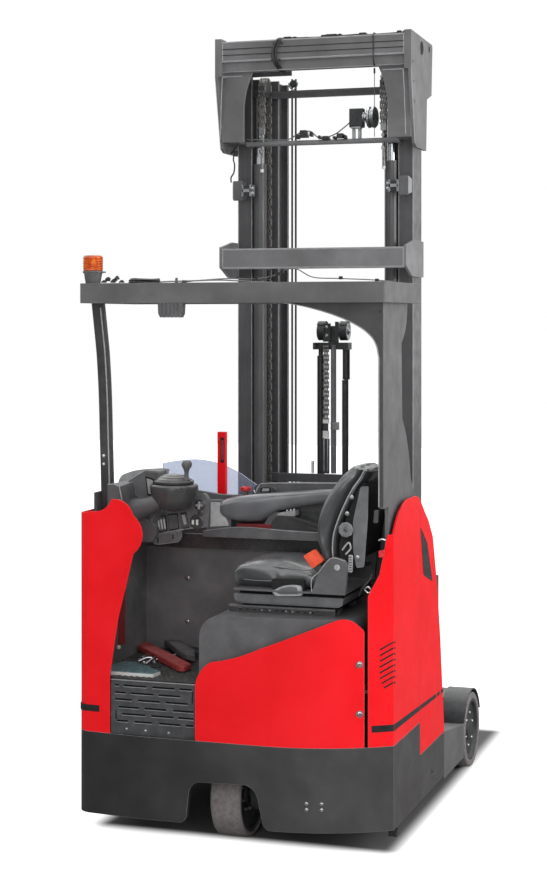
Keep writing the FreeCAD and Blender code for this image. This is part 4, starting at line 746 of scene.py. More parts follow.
def makePlate():
    # blank enamelled plate with a raised rim, on the battery door
    outline = rounded(plate["corners"], 14)
    middle = outline.mean(0)
    inner = middle + (outline - middle) * 0.93
    lifts = [(635.2, outline), (635 + plate["thick"], outline), (635 + plate["thick"], inner),
             (634.9 + plate["thick"] * 0.55, inner)]
    rings = [np.column_stack([np.full(len(ring), x), ring]) for x, ring in lifts]
    piece("blank_plate", [(loft(rings), "black enamel")], "chassis")


makePlate()

vents = {"count": 8, "low": 640, "high": 795, "rise": 27, "start": 588, "wide": 46, "tall": 8.5}


def makeVents():
    # pressed louvres by the right corner: each mouth a near-black ribbon, painted shade, under a rolled red lip
    parts = []
    for n in range(vents["count"]):
        high = vents["low"] + (vents["high"] - vents["low"]) * n / (vents["count"] - 1)
        start = vents["start"] + (14 if n == 0 else 6 if n == 1 else 0)
        across = np.linspace(start, 633.5, 8)
        rise = np.linspace((start - vents["start"]) / vents["wide"] * vents["rise"], vents["rise"], 8)
        ends = np.column_stack([across, rearSkin(across)])
        inward = [(-0.5, 0.86)] * 8
        level = high + rise
        parts.append((ribbon(ends, level, level + vents["tall"], 0.6, inward), "gap black and painted shade"))
        lip = np.column_stack([ends - np.array(inward) * 1.6, level + vents["tall"] + 1.2])
        parts.append((swept(circle(2.0, 6), lip, upward), "red powder coat"))
        side = np.column_stack([np.full(4, 635.0), np.linspace(165, 184, 4)])
        drop = level[-1] - np.linspace(0, 7, 4)
        parts.append((ribbon(side, drop, drop + vents["tall"], 0.6, [(-1, 0)] * 4), "gap black and painted shade"))
    piece("corner_louvres", parts, "chassis")


makeVents()


screws = {"panelX": 518, "panelHighs": (745, 555), "panelLean": (366, 705), "skirtX": (327, 383),
          "skirtHighs": (190, 213),
          "sealInner": 622.0, "sealOuter": 627.5, "sealHighs": (440, 1320)}


def makeFasteners():
    # round-head screws of the centre panel, the skirt's four bolts and the seals at the doors' rear edges
    lean = math.atan2(*screws["panelLean"])
    outward = (math.sin(lean), -math.cos(lean), 0)
    x = screws["panelX"]
    parts = [(bolt((x, float(rearSkin(x)) - 0.5, high), outward, 9.5, 9), "zinc plate")
             for high in screws["panelHighs"]]
    piece("panel_screws", parts, "chassis")
    parts = []
    for x in screws["skirtX"]:
        lean = math.asin((x - skin["sweepStart"]) / skin["sweepRadius"])
        outward = (math.sin(lean), -math.cos(lean), 0)
        for high in screws["skirtHighs"]:
            parts.append((bolt((x, float(rearSkin(x)) - 0.3, high), outward, 5.2, 4), "zinc plate"))
    piece("skirt_bolts", parts, "chassis")
    parts = []
    for side in (-1, 1):
        low, high = screws["sealHighs"]
        gap = block((side * screws["sealOuter"], 586, low), (side * screws["sealInner"], 600, high))
        parts.append((gap, "gap black and painted shade"))
    piece("door_seals", parts, "chassis")


makeFasteners()
print("body trim made")


# roof, beacon, lamp and pillar

beacon = {"middle": (-594, 84), "low": 2216, "base": 50, "lens": 62, "wide": 40}


def makeBeacon():
    # a flared black foot, a clamped flange and a ribbed amber dome
    x, back = beacon["middle"]
    low, high = beacon["low"], beacon["low"] + beacon["base"]
    wide = beacon["wide"]
    foot = turned([(0, wide - 10), (4, wide - 9), (beacon["base"] - 10, wide - 3), (beacon["base"] - 8, wide + 2),
                   (beacon["base"] - 2, wide + 2), (beacon["base"], wide - 3), (beacon["base"], 2)], (x, back, low),
                  upward, 40)
    tab = rounded([(x + wide - 4, back - 9), (x + wide + 14, back - 7), (x + wide + 14, back + 7),
                   (x + wide - 4, back + 9)], 3)
    ribs = [(0, 2), (0, wide - 3), (3, wide)]
    for n in range(5):
        ribs += [(6 + n * 10, wide - 1), (9 + n * 10, wide + 0.6), (13 + n * 10, wide + 0.4), (15 + n * 10, wide - 1.6)]
    ribs += [(beacon["lens"] - 5, wide - 2), (beacon["lens"] - 1, wide - 5), (beacon["lens"], wide - 14),
             (beacon["lens"], 2)]
    lens = turned(ribs, (x, back, high), upward, 48)
    bulb = turned([(4, 2), (6, 15), (38, 14), (42, 2)], (x, back, high), upward, 16)
    parts = [(foot, "moulded ABS"), (slab(tab, 2, high - 9, high - 3), "moulded ABS"), (lens, "amber lens"),
             (bulb, "zinc plate")]
    piece("beacon_lamp", parts, "chassis", replaces=["beacon"])


makeBeacon()

lamp = {"low": (-297, 38, 2080), "high": (-191, 76, 2135), "ribs": 6}


def makeWorkLight():
    # finned lamp body under the roof's edge, with its window towards the floor
    (x0, y0, z0), (x1, y1, z1) = lamp["low"], lamp["high"]
    outline = rounded([(x0, z1), (x0 + 3, z0), (x1 - 3, z0), (x1, z1)], [1, 17, 17, 1], 6)
    parts = [(slab(outline, 1, y0 + 4, y1), "moulded ABS")]
    for n in range(lamp["ribs"]):
        x = x0 + 12 + n * (x1 - x0 - 24) / (lamp["ribs"] - 1)
        fin = rounded([(y0, z1 - 1), (y0, z0 + 3), (y0 + 8, z0 - 2), (y1 + 2, z0 - 2), (y1 + 2, z1 - 1)],
                      [1, 5, 3, 3, 1])
        parts.append((slab(fin, 0, x - 3.4, x + 3.4), "moulded ABS"))
    parts.append((block((x0 + 16, y0 + 9, z0 - 3), (x1 - 16, y1 - 8, z0 + 1)), "lamp window"))
    piece("work_lamp", parts, "chassis", bevel=1.0, replaces=["work_light"])


makeWorkLight()

pillar = {"path": [(-603, 155, 2138), (-602, 181, 2023), (-600, 200, 1918), (-598, 215, 1761), (-596, 222, 1575),
                   (-594, 228, 1410), (-592, 230, 1250), (-588, 232, 1110)], "wide": 23, "deep": 20}


def makePillar():
    # rolled guard pillar: two round beads with a channel between them, bowed out to the roof
    w, d = pillar["wide"], pillar["deep"]
    section = rounded([(-w, -d), (-w * 0.35, -d), (-w * 0.12, -d * 0.45), (w * 0.18, -d * 0.45), (w * 0.4, -d), (w, -d),
                       (w, d), (-w, d)], [6, 4, 3, 3, 4, 6, 7, 7], 4)
    shaft = swept(section, smoothed(pillar["path"], 40), rightward)
    screws = [bolt((-600, 203, high), (0.3, -1, 0), 4, 3) for high in (1478, 1512)]
    # a pale streak along the pillar's face: a painted highlight
    line = smoothed(pillar["path"], 40) + np.array([w * 0.72, -d * 0.99, 0])
    highlightStreak = swept(circle(2.4, 6), line[1:-1], rightward)
    piece("guard_pillar", [(shaft, "gusset coat"), (highlightStreak, "light ABS and painted highlight")] + [(one, "zinc plate") for one in screws],
          "chassis",
          replaces=["guard_pillar_left"])


makePillar()

gusset = {"arc": [(212, 2136), (308, 2118), (416, 2087), (504, 2049), (557, 2012), (584, 1973), (595, 1922)],
          "foot": 1352,
          "inner": 595, "outer": 613, "top": 2136, "near": 88, "far": 96}


def makeGusset():
    # plate sweeping from under the roof's rear edge into the right column, with a pale bead along its curve: a painted
    # highlight
    arc = smoothed(gusset["arc"], 28)
    inner, outer, foot, near = (gusset[name] for name in ("inner", "outer", "foot", "near"))
    outline = np.concatenate([arc, [(inner, foot), (outer, foot), (outer, gusset["top"])]])
    lip = np.column_stack([arc[:, 0], np.full(len(arc), float(near)), arc[:, 1]])
    lip = np.concatenate([lip, [(inner, near, 1700), (inner, near, foot)]])
    parts = [(slab(outline, 1, near, gusset["far"]), "gusset coat"), (swept(circle(2.2, 6), lip, ahead), "painted edge highlight"),
             (bolt((604, near, 2100), rearward, 5, 3), "cast iron")]
    piece("guard_gusset", parts, "chassis", bevel=0.8)


makeGusset()

roof = {"top": 2215, "coil": (-420, 200), "turns": 7}


def makeRoofWiring():
    # lamp wiring strapped to the roof: a tied coil, a knot of connectors and one run to the mast side
    x, back = roof["coil"]
    turn = np.linspace(0, 2 * np.pi, 40, endpoint=False)
    parts = []
    for n in range(roof["turns"]):
        wide = 62 - 3.2 * (n % 4)
        lift = 5 + 4.2 * (n // 2) + 1.2 * np.sin(2 * turn + n)
        loop = np.column_stack([x + 3 * math.sin(n * 2.1) + wide * np.cos(turn), back + (wide * 0.86) * np.sin(turn),
                                roof["top"] + lift])
        along = np.roll(loop, -1, 0) - np.roll(loop, 1, 0)
        along /= np.linalg.norm(along, axis=1)[:, None]
        side = np.cross(along, upward)
        across = np.cos(turn[::5])[None, :, None] * side[:, None]
        lifted = np.sin(turn[::5])[None, :, None] * np.array(upward)
        rings = loop[:, None] + 3.4 * (across + lifted)
        parts.append((loft(rings, closed=True), "cable jacket"))
    for angle in (0.4, 2.3, 4.4):
        place = np.array([x + 58 * math.cos(angle), back + 50 * math.sin(angle), roof["top"] + 11])
        parts.append((block(place - (7, 3, 11), place + (7, 3, 11)), "moulded ABS"))
    for n in range(7):
        place = np.array([-575 + n * 12, 150 + 14 * math.sin(n * 2.4), roof["top"] + 9 + 6 * (n % 3)])
        parts.append((tube([place + (-9, -6, -4), place + (0, 3, 4 + 5 * (n % 2)), place + (10, 0, -3)], 3.2, 8, 6,
                           ahead), "cable jacket"))
        parts.append((block(place - (5, 4, 5), place + (6, 5, 5)), "moulded ABS"))
    run = [(-362, 200, 2221), (-330, 230, 2224), (-240, 300, 2228), (-150, 380, 2232), (-40, 470, 2226),
           (60, 540, 2222)]
    parts.append((tube(run, 3.0, 40, 6, upward), "grey cable"))
    parts.append((bolt((-303, 262, 2216), upward, 6, 24), "moulded ABS"))
    across = [(-420, 585, 2226), (-330, 586, 2236), (-200, 584, 2243), (-90, 586, 2240), (0, 588, 2252),
              (60, 586, 2278), (110, 584, 2280), (180, 586, 2246), (290, 587, 2240), (420, 586, 2234), (520, 586, 2226)]
    parts.append((tube(across, 2.6, 70, 6, ahead), "grey cable"))
    for x, high in ((-395, 2232), (-70, 2244), (25, 2262), (44, 2270), (300, 2243), (455, 2232)):
        parts.append((block((x - 7, 578, high - 7), (x + 7, 592, high + 6)), "cable jacket"))
    piece("roof_wiring", parts, "chassis", bevel=0.6)


makeRoofWiring()
print("roof made")


# cab

cab = {"riser": [(618, [(-470, -452), (-433, -334), (-310, -215), (-196, -143)]),
                 (589, [(-470, -423), (-402, -305), (-283, -191)]),
                 (562, [(-470, -397), (-371, -278), (-255, -160)]),
                 (532, [(-455, -366), (-344, -251), (-222, -135)]),
                 (505, [(-440, -339), (-315, -220), (-201, -135)]),
                 (477, [(-462, -413), (-386, -312), (-283, -191), (-169, -135)])],
       "riserLeft": -487, "riserRight": -125, "riserLow": 425, "riserHigh": 640, "riserNear": 18, "riserFar": 22,
       "slotTall": 8}


def makeRiser():
    # pressed step plate with long slots in six rows and two corner slots and a nosing on its upper edge; the dark sheet
    # behind the slots and the two dark corner slots are painted shade, and the pale lines under the slots and along the
    # nosing a painted highlight
    left, right = cab["riserLeft"], cab["riserRight"]
    parts = []
    low = cab["riserLow"] + 0.3
    near, far, half = cab["riserNear"], cab["riserFar"], cab["slotTall"] / 2
    for high, slots in cab["riser"][::-1]:
        parts.append((block((left, near, low), (right, far, high - half)), "riser coat"))
        x = left
        for a, b in slots:
            if a > x:
                parts.append((block((x, near, high - half), (a, far, high + half)), "riser coat"))
            x = max(x, b)
            parts.append((block((a, near - 0.8, high - half - 1.6), (b, near + 0.2, high - half)), "pale highlight coat"))
        parts.append((block((x, near, high - half), (right, far, high + half)), "riser coat"))
        low = high + half
    parts += [(block((left, near, low), (right, far, cab["riserHigh"] - 14)), "riser coat"),
              (block((-467, 16.8, 482), (-461, 18.2, 520)), "gap black and painted shade"),
              (block((-143, 16.8, 566), (-137, 18.2, 612)), "gap black and painted shade"),
              (block((left, 26, 430), (right, 28, 626)), "gap black and painted shade"),
              (block((left + 3, 16.4, 627), (right - 3, 27, 640)), "riser coat"),
              (swept(circle(1.6, 6), [(left + 3, 16.8, 639.4), (right - 3, 16.8, 639.4)], upward), "pale highlight coat")]
    for x, high in ((-419, 446), (-338, 444), (-240, 442)):
        parts.append((bolt((x, 18, high), rearward, 4, 3), "zinc plate"))
    piece("step_plate", parts, "chassis", replaces=["step_riser"])


makeRiser()

pedal = {"teal": {"low": 646, "high": 662, "turn": 0.35, "rim": "white nylon",
                  "corners": [(-569, 164), (-541, 283), (-490, 277), (-407, 210), (-315, 123), (-326, 62), (-517, 64)]},
         "red": {"low": 652, "high": 674, "turn": -0.72, "rim": "red pad",
                 "corners": [(-601, 561), (-601, 661), (-233, 250), (-239, 189), (-266, 188)]},
         "grey": {"low": 660, "high": 684, "turn": -0.75, "rim": "grey pad",
                  "corners": [(-522, 672), (-461, 676), (-313, 497), (-261, 360), (-330, 400)]}}
padRibs = {"pitch": 16, "reach": 260, "shortest": 12, "section": [(-3, -1), (3, -1), (1.8, 1.6), (-1.8, 1.6)]}


def makePedals():
    # three rubber pads, ribbed across, each in its own tray over bright levers
    parts = []
    for name, pad in pedal.items():
        outline = rounded(pad["corners"], 9, 4)
        low, high = pad["low"], pad["high"]
        middle = outline.mean(0)
        parts.append((slab(outline, 2, low, high - 3), pad["rim"]))
        parts.append((slab(middle + (outline - middle) * 0.955, 2, high - 4, high), name + " pad"))
        along = np.array([math.cos(pad["turn"]), math.sin(pad["turn"])])
        across = np.array([-along[1], along[0]])
        inside = middle + (outline - middle) * 0.86
        for step in np.arange(-padRibs["reach"], padRibs["reach"] + 1, padRibs["pitch"]):
            reach = (inside - middle) @ along
            near = inside[np.abs(reach - step) < 14]
            if len(near) < 2:
                edges = np.stack([inside, np.roll(inside, -1, 0)], 1)
                side = (edges - middle) @ along - step
                cross = edges[side[:, 0] * side[:, 1] < 0]
                if len(cross) < 2:
                    continue
                t = ((cross[:, 0] - middle) @ along - step) / ((cross[:, 0] - cross[:, 1]) @ along)
                near = cross[:, 0] + t[:, None] * (cross[:, 1] - cross[:, 0])
            reachAcross = (near - middle) @ across
            a, b = reachAcross.min(), reachAcross.max()
            if b - a < padRibs["shortest"]:
                continue
            ends = [middle + along * step + across * a, middle + along * step + across * b]
            rib = swept(padRibs["section"], [(*end, high) for end in ends], (*along, 0))
            parts.append((rib, name + " pad"))
    for path in ([(-455, 300, 650), (-435, 340, 668), (-440, 400, 660)],
                 [(-500, 330, 652), (-470, 360, 664), (-430, 380, 654)],
                 [(-345, 480, 652), (-320, 470, 672), (-300, 500, 656)],
                 [(-420, 470, 650), (-380, 520, 662), (-390, 580, 655)],
                 [(-520, 420, 650), (-500, 480, 660), (-470, 560, 652)]):
        parts.append((tube(path, 5, 12, 8, upward), "bright steel"))
    for x, back in ((-470, 318), (-440, 355), (-330, 500), (-372, 560), (-300, 520), (-505, 360)):
        parts.append((bolt((x, back, 648), upward, 8, 10), "zinc plate"))
    parts += [(block((-560, 250, 646), (-380, 300, 652)), "cast iron"),
              (block((-560, 420, 646), (-330, 500, 654)), "cast iron"),
              (block((-420, 560, 646), (-290, 660, 660)), "cast iron")]
    piece("pedal_pads", parts, "chassis", bevel=0.8, replaces=["pedals"])


makePedals()


mat = {"rows": 27, "columns": 18, "acrossPitch": 26, "aheadPitch": 24, "left": -586, "rear": 38, "right": -142,
       "stepBack": 90, "stepLeft": -476, "wallLeft": -590, "high": 646.0}


def makeMat():
    # raised lozenges of the floor mat, four-sided, every second row half a pitch across
    r, c = np.meshgrid(np.arange(mat["rows"]), np.arange(mat["columns"]), indexing="ij")
    x = mat["left"] + c * mat["acrossPitch"] + (r % 2) * mat["acrossPitch"] / 2
    back = mat["rear"] + r * mat["aheadPitch"]
    keep = (x < mat["right"]) & (x > np.where(back < mat["stepBack"], mat["stepLeft"], mat["wallLeft"]))
    places = np.column_stack([x[keep], back[keep], np.full(keep.sum(), mat["high"])])
    stud = np.array([(-9, 0, 0), (0, -3.5, 0), (9, 0, 0), (0, 3.5, 0), (-6, 0, 2.2), (0, -2, 2.2), (6, 0, 2.2),
                     (0, 2, 2.2)])
    faces = block((0, 0, 0), (1, 1, 1))[1]
    piece("mat_studs", [(repeated((stud, faces), places), "floor rubber")], "chassis")


makeMat()


def bead(points, radius=1.6, name="pale highlight coat", face=ahead, steps=None):
    points = np.asarray(points, float)
    path = points if steps is None else smoothed(points, steps)
    return swept(circle(radius, 6), path, face), name


def makeWalls():
    # screws of the cab's lining and pale beads along its seams, a painted highlight; the red upright behind the left
    # cover, its red painted dark as shade; its white stop; and a slot with a dark rim, painted shade
    parts = []
    for x, high in ((-415, 954), (-417, 766), (-417, 1098), (-60, 1110)):
        parts.append((turned([(0, 9), (2.2, 9), (3.5, 6), (3.5, 3), (1.6, 2)], (x, 678, high), rearward, 16),
                      "zinc plate"))
    for back, high in ((520, 968), (520, 780)):
        parts.append((turned([(0, 7), (2.2, 7), (3.2, 5), (3.2, 2)], (-606, back, high), rightward, 16), "zinc plate"))
    parts.append(bead([(-604, 675, 1084), (600, 675, 1084)], 2.6, "light ABS and painted highlight"))
    parts.append(bead([(-430, 657, 1149), (300, 657, 1149)], 2.2, "light ABS and painted highlight"))
    piece("wall_screws", parts, "chassis")
    strip = rounded([(365, 706), (424, 706), (424, 1140), (365, 1140)], 4)
    parts = [(slab(strip, 0, -606, -598), "red coat in painted shade"),
             bead([(-598, 380, 706), (-598, 380, 1140)], 3, "red coat in painted shade", rightward),
             bead([(-598, 410, 706), (-598, 410, 1140)], 3, "red coat in painted shade", rightward),
             (turned([(0, 9), (6, 9), (8, 6), (8, 2)], (-602, 366, 699), rearward, 16), "white nylon")]
    slot = rounded([(-277, 1452), (-259, 1452), (-259, 1562), (-277, 1562)], 8, 5)
    parts += [(slab(slot, 1, 708.6, 710.5), "gap black and painted shade"),
              (slab((slot - slot.mean(0)) * 0.8 + slot.mean(0), 1, 707.8, 709.5), "red coat in painted shade")]
    piece("maroon_strips", parts, "chassis", bevel=0.8)


makeWalls()

bowl = {"rings": [(-322, 1284, 4), (-323, 1285, 32), (-324, 1290, 50), (-325, 1301, 66), (-326, 1316, 78),
                  (-326, 1331, 87), (-327, 1350, 94), (-328, 1370, 98.5), (-328, 1385, 99), (-328, 1391, 97),
                  (-328, 1395, 92), (-329, 1396.5, 82), (-330, 1396.8, 60)],
        "back": 300, "middle": -330}


def ovalLoft(path, halves, sides=28, power=2.6):
    # an oval carried along a path whose half sizes change: path + a * |cos|^(2/p) * side + b * |sin|^(2/p) * up
    path = np.asarray(path, float)
    halves = np.asarray(halves, float)
    turn = np.linspace(0, 2 * np.pi, sides, endpoint=False)
    u = np.sign(np.cos(turn)) * np.abs(np.cos(turn)) ** (2 / power)
    v = np.sign(np.sin(turn)) * np.abs(np.sin(turn)) ** (2 / power)
    along = np.gradient(path, axis=0)
    along /= np.linalg.norm(along, axis=1)[:, None]
    side = np.cross(along, np.broadcast_to(upward, along.shape) if abs(along[0, 2]) < 0.9
                    else np.broadcast_to(ahead, along.shape))
    side /= np.linalg.norm(side, axis=1)[:, None]
    up = np.cross(side, along)
    wide = halves[:, None, :1] * u[None, :, None] * side[:, None]
    tall = halves[:, None, 1:] * v[None, :, None] * up[:, None]
    return loft(path[:, None] + wide + tall)


def makeSteering():
    # moulded bowl with a round belly on a swept column shroud, and the stepped hand disc with its faceted knob
    turn = np.linspace(0, 2 * np.pi, 56, endpoint=False)
    profile = smoothed(bowl["rings"], 44)
    rings = np.stack([profile[:, :1] + profile[:, 2:] * np.cos(turn), bowl["back"] + profile[:, 2:] * np.sin(turn),
                      np.broadcast_to(profile[:, 1:2], (len(profile), 56))], -1)
    parts = [(loft(rings), "gloss ABS")]
    path = smoothed([(-330, 305, 1344), (-365, 303, 1334), (-402, 301, 1318), (-447, 299, 1299), (-503, 296, 1282),
                     (-556, 294, 1238), (-582, 292, 1180)], 28)
    halves = smoothed([(56, 24), (62, 28), (66, 33), (70, 41), (76, 50), (76, 56), (74, 58)], 28)
    parts.append((ovalLoft(path, halves), "moulded ABS"))
    piece("steering_bowl", parts, "chassis", replaces=["steering_pod"])
    x, back = bowl["middle"], bowl["back"]
    disc = [(0, 2), (0, 78), (3, 83), (10, 84), (14, 81), (15.5, 76), (18, 74), (20, 73), (21, 69), (27, 60), (29, 59),
            (30, 54), (35, 42), (36, 41), (36.8, 37), (40, 18), (41, 2)]
    knob = [(0, 17), (4, 13), (12, 9.5), (30, 9), (44, 13), (54, 20), (61, 22), (70, 21), (77, 16), (79, 9), (79, 1)]
    parts = [(turned(disc, (x, back, 1397.3), upward, 64), "gloss ABS"),
             (turned(knob, (-268, 281, 1416), (0.05, -0.03, 1), 12), "moulded ABS"),
             (turned([(0, 5), (1.5, 4), (1.5, 1)], (x - 12, back - 40, 1429), upward, 10), "zinc plate")]
    piece("hand_disc", parts, "hand_wheel", replaces=["steering_wheel"], soft=28)


makeSteering()

dash = {"body": [(-620, 1152), (-480, 1152), (-430, 1240), (-405, 1290), (-400, 1444), (-466, 1446), (-571, 1380),
                 (-620, 1366)],
        "panel": [(-482, 1229), (-462, 1243), (-405, 1265), (-332, 1278), (-294, 1296), (-270, 1340), (-232, 1352),
                  (-214, 1325), (-216, 1212), (-300, 1201), (-334, 1194), (-345, 1144), (-452, 1127), (-482, 1170)]}


def makeDash():
    # moulded dash: a slanted body behind the bowl, a corner block beside the pillar, and a dark storage tray; the dark
    # patches in its recesses are painted shade, and the pale beads along its upper edges a painted highlight
    body = rounded(dash["body"], [6, 20, 24, 16, 14, 18, 20, 12], 5)
    parts = [(slab(body, 1, 318, 396), "facia ABS"), (block((-618, 396, 1152), (-412, 656, 1330)), "moulded ABS"),
             (moulding([(-618, 1392), (-606, 1416), (-549, 1437), (-500, 1444), (-418, 1450), (-392, 1447),
                        (-400, 1420), (-470, 1425), (-600, 1350), (-618, 1350)], [4, 14, 20, 20, 20, 3, 4, 10, 10, 3],
                       397, 412, 5), "light ABS and painted highlight"),
             (moulding([(-560, 1304), (-487, 1308), (-484, 1328), (-498, 1338), (-556, 1334)], 5, 312, 319),
              "gap black and painted shade"),
             (moulding([(-462, 1440), (-404, 1440), (-404, 1412), (-462, 1410)], 4, 314, 319), "moulded ABS")]
    near = rounded([(-568, 1152), (-500, 1152), (-504, 1336), (-515, 1394), (-540, 1402), (-568, 1398)],
                   [4, 10, 10, 8, 8, 6], 5)
    parts.append((slab(near, 1, 168, 320), "moulded ABS"))
    parts.append((block((-620, 150, 1152), (-615.5, 588, 1366)), "moulded ABS"))
    parts.append((moulding([(-600, 1152), (-420, 1152), (-400, 1210), (-500, 1290), (-600, 1300)], 20, 296, 330, 5),
                  "moulded ABS"))
    parts += [bead([(-504, 167, 1338), (-515, 167, 1391), (-539, 167, 1401), (-566, 167, 1398)], 2.6, "light ABS and painted highlight"),
              bead([(-515, 167, 1393), (-520, 318, 1396)], 2.4, "light ABS and painted highlight", upward),
              bead([(-618, 317, 1367), (-571, 317, 1382), (-466, 317, 1446)], 3.0, "light ABS and painted highlight", ahead),
               (moulding([(-463, 1424), (-424, 1414), (-424, 1345), (-452, 1342)], 6, 313, 319), "gap black and painted shade"),
              (moulding([(-456, 1414), (-428, 1406), (-430, 1350), (-447, 1350)], 5, 310.5, 314), "light ABS and painted highlight")]
    piece("dash_moulding", parts, "chassis", bevel=1.2, replaces=["dashboard"])


makeDash()


def makeSwitches():
    # facia under the bowl: three rockers, a key switch, two turning knobs and a bare lower lip; the dark surrounds and
    # the two dark slots are painted shade, and the pale lines along the lip and the panel's lower edge a painted
    # highlight
    near = 398
    parts = [(moulding(dash["panel"], [8, 6, 10, 10, 12, 14, 14, 12, 10, 8, 6, 14, 20, 12], near, near + 26, 5),
              "facia ABS")]
    lip = rounded([(-452, 1170), (-334, 1192), (-330, 1170), (-345, 1146), (-452, 1129), (-480, 1172)],
                  [3, 5, 6, 12, 18, 6], 5)
    parts.append((slab(lip, 1, near - 6, near + 1), "facia ABS"))
    lipHighlight = np.column_stack([lip[:, 0], np.full(len(lip), near - 6), lip[:, 1]])
    parts.append((loft(lipHighlight[:, None] + np.array([(0, -0.2, 1.2), (0, -1.2, 0), (0, -0.2, -1.2)])[None], ends=False,
                       closed=True), "light ABS and painted highlight"))
    for corners, rocker in (([(-463, 1240), (-405, 1252), (-399, 1192), (-452, 1181)], "facia ABS"),
                            ([(-393, 1256), (-352, 1262), (-346, 1202), (-384, 1194)], "grey pad"),
                            ([(-337, 1264), (-312, 1267), (-300, 1207), (-328, 1202)], "moulded ABS")):
        corners = np.array(corners, float)
        middle = corners.mean(0)
        parts.append((moulding(middle + (corners - middle) * 1.1, 4, near - 2.5, near + 2), "gap black and painted shade"))
        parts.append((moulding(middle + (corners - middle) * 0.93, 4, near - 7, near), rocker))
    for n in range(4):
        x = -451 + n * 12.5
        parts.append((slab([(x, 1232 + n * 2), (x + 6, 1233 + n * 2), (x + 12, 1194 + n * 2), (x + 7, 1193 + n * 2)], 1,
                           near - 9, near - 6.5), "white nylon"))
    parts.append((slab([(-331, 1258), (-319, 1260), (-309, 1222), (-320, 1219)], 1, near - 9, near - 6.5), "light ABS and painted highlight"))
    parts += [(turned([(0, 30), (5, 30), (7, 27), (7, 22), (3, 20), (3, 9), (9, 8), (9, 2)], (-265, near, 1232),
                      rearward, 28), "gloss ABS"),
              (block((-284, near - 13, 1222), (-275, near - 6, 1240)), "white nylon"),
              (block((-265, near - 14, 1220), (-257, near - 6, 1242)), "white nylon"),
              (turned([(0, 24), (4, 24), (6, 21), (6, 15), (12, 13), (14, 10), (14, 2)], (-251, near, 1302), rearward,
                      24), "gloss ABS"),
              (block((-255, near - 18, 1286), (-247, near - 12, 1318)), "light ABS and painted highlight"),
              (block((-266, near - 17, 1298), (-236, near - 12, 1306)), "light ABS and painted highlight"),
              (turned([(0, 12), (7, 12), (9, 9), (9, 2)], (-247, near, 1270), rearward, 18), "gloss ABS")]
    parts.append(bead([(-449, near - 1, 1174), (-334, near - 1, 1197), (-300, near - 1, 1204), (-243, near - 1, 1210)],
                      2.0, "light ABS and painted highlight"))
    parts.append((block((-497, near - 2, 1186), (-489, near + 30, 1230)), "light ABS and painted highlight"))
    parts.append((slab([(-440, 1138), (-434, 1139), (-434, 1162), (-440, 1161)], 1, near - 7.2, near - 5),
                  "gap black and painted shade"))
    parts.append((slab([(-372, 1156), (-366, 1157), (-366, 1176), (-372, 1175)], 1, near - 7.2, near - 5),
                  "gap black and painted shade"))
    piece("switch_panel", parts, "chassis", bevel=0.8)


makeSwitches()


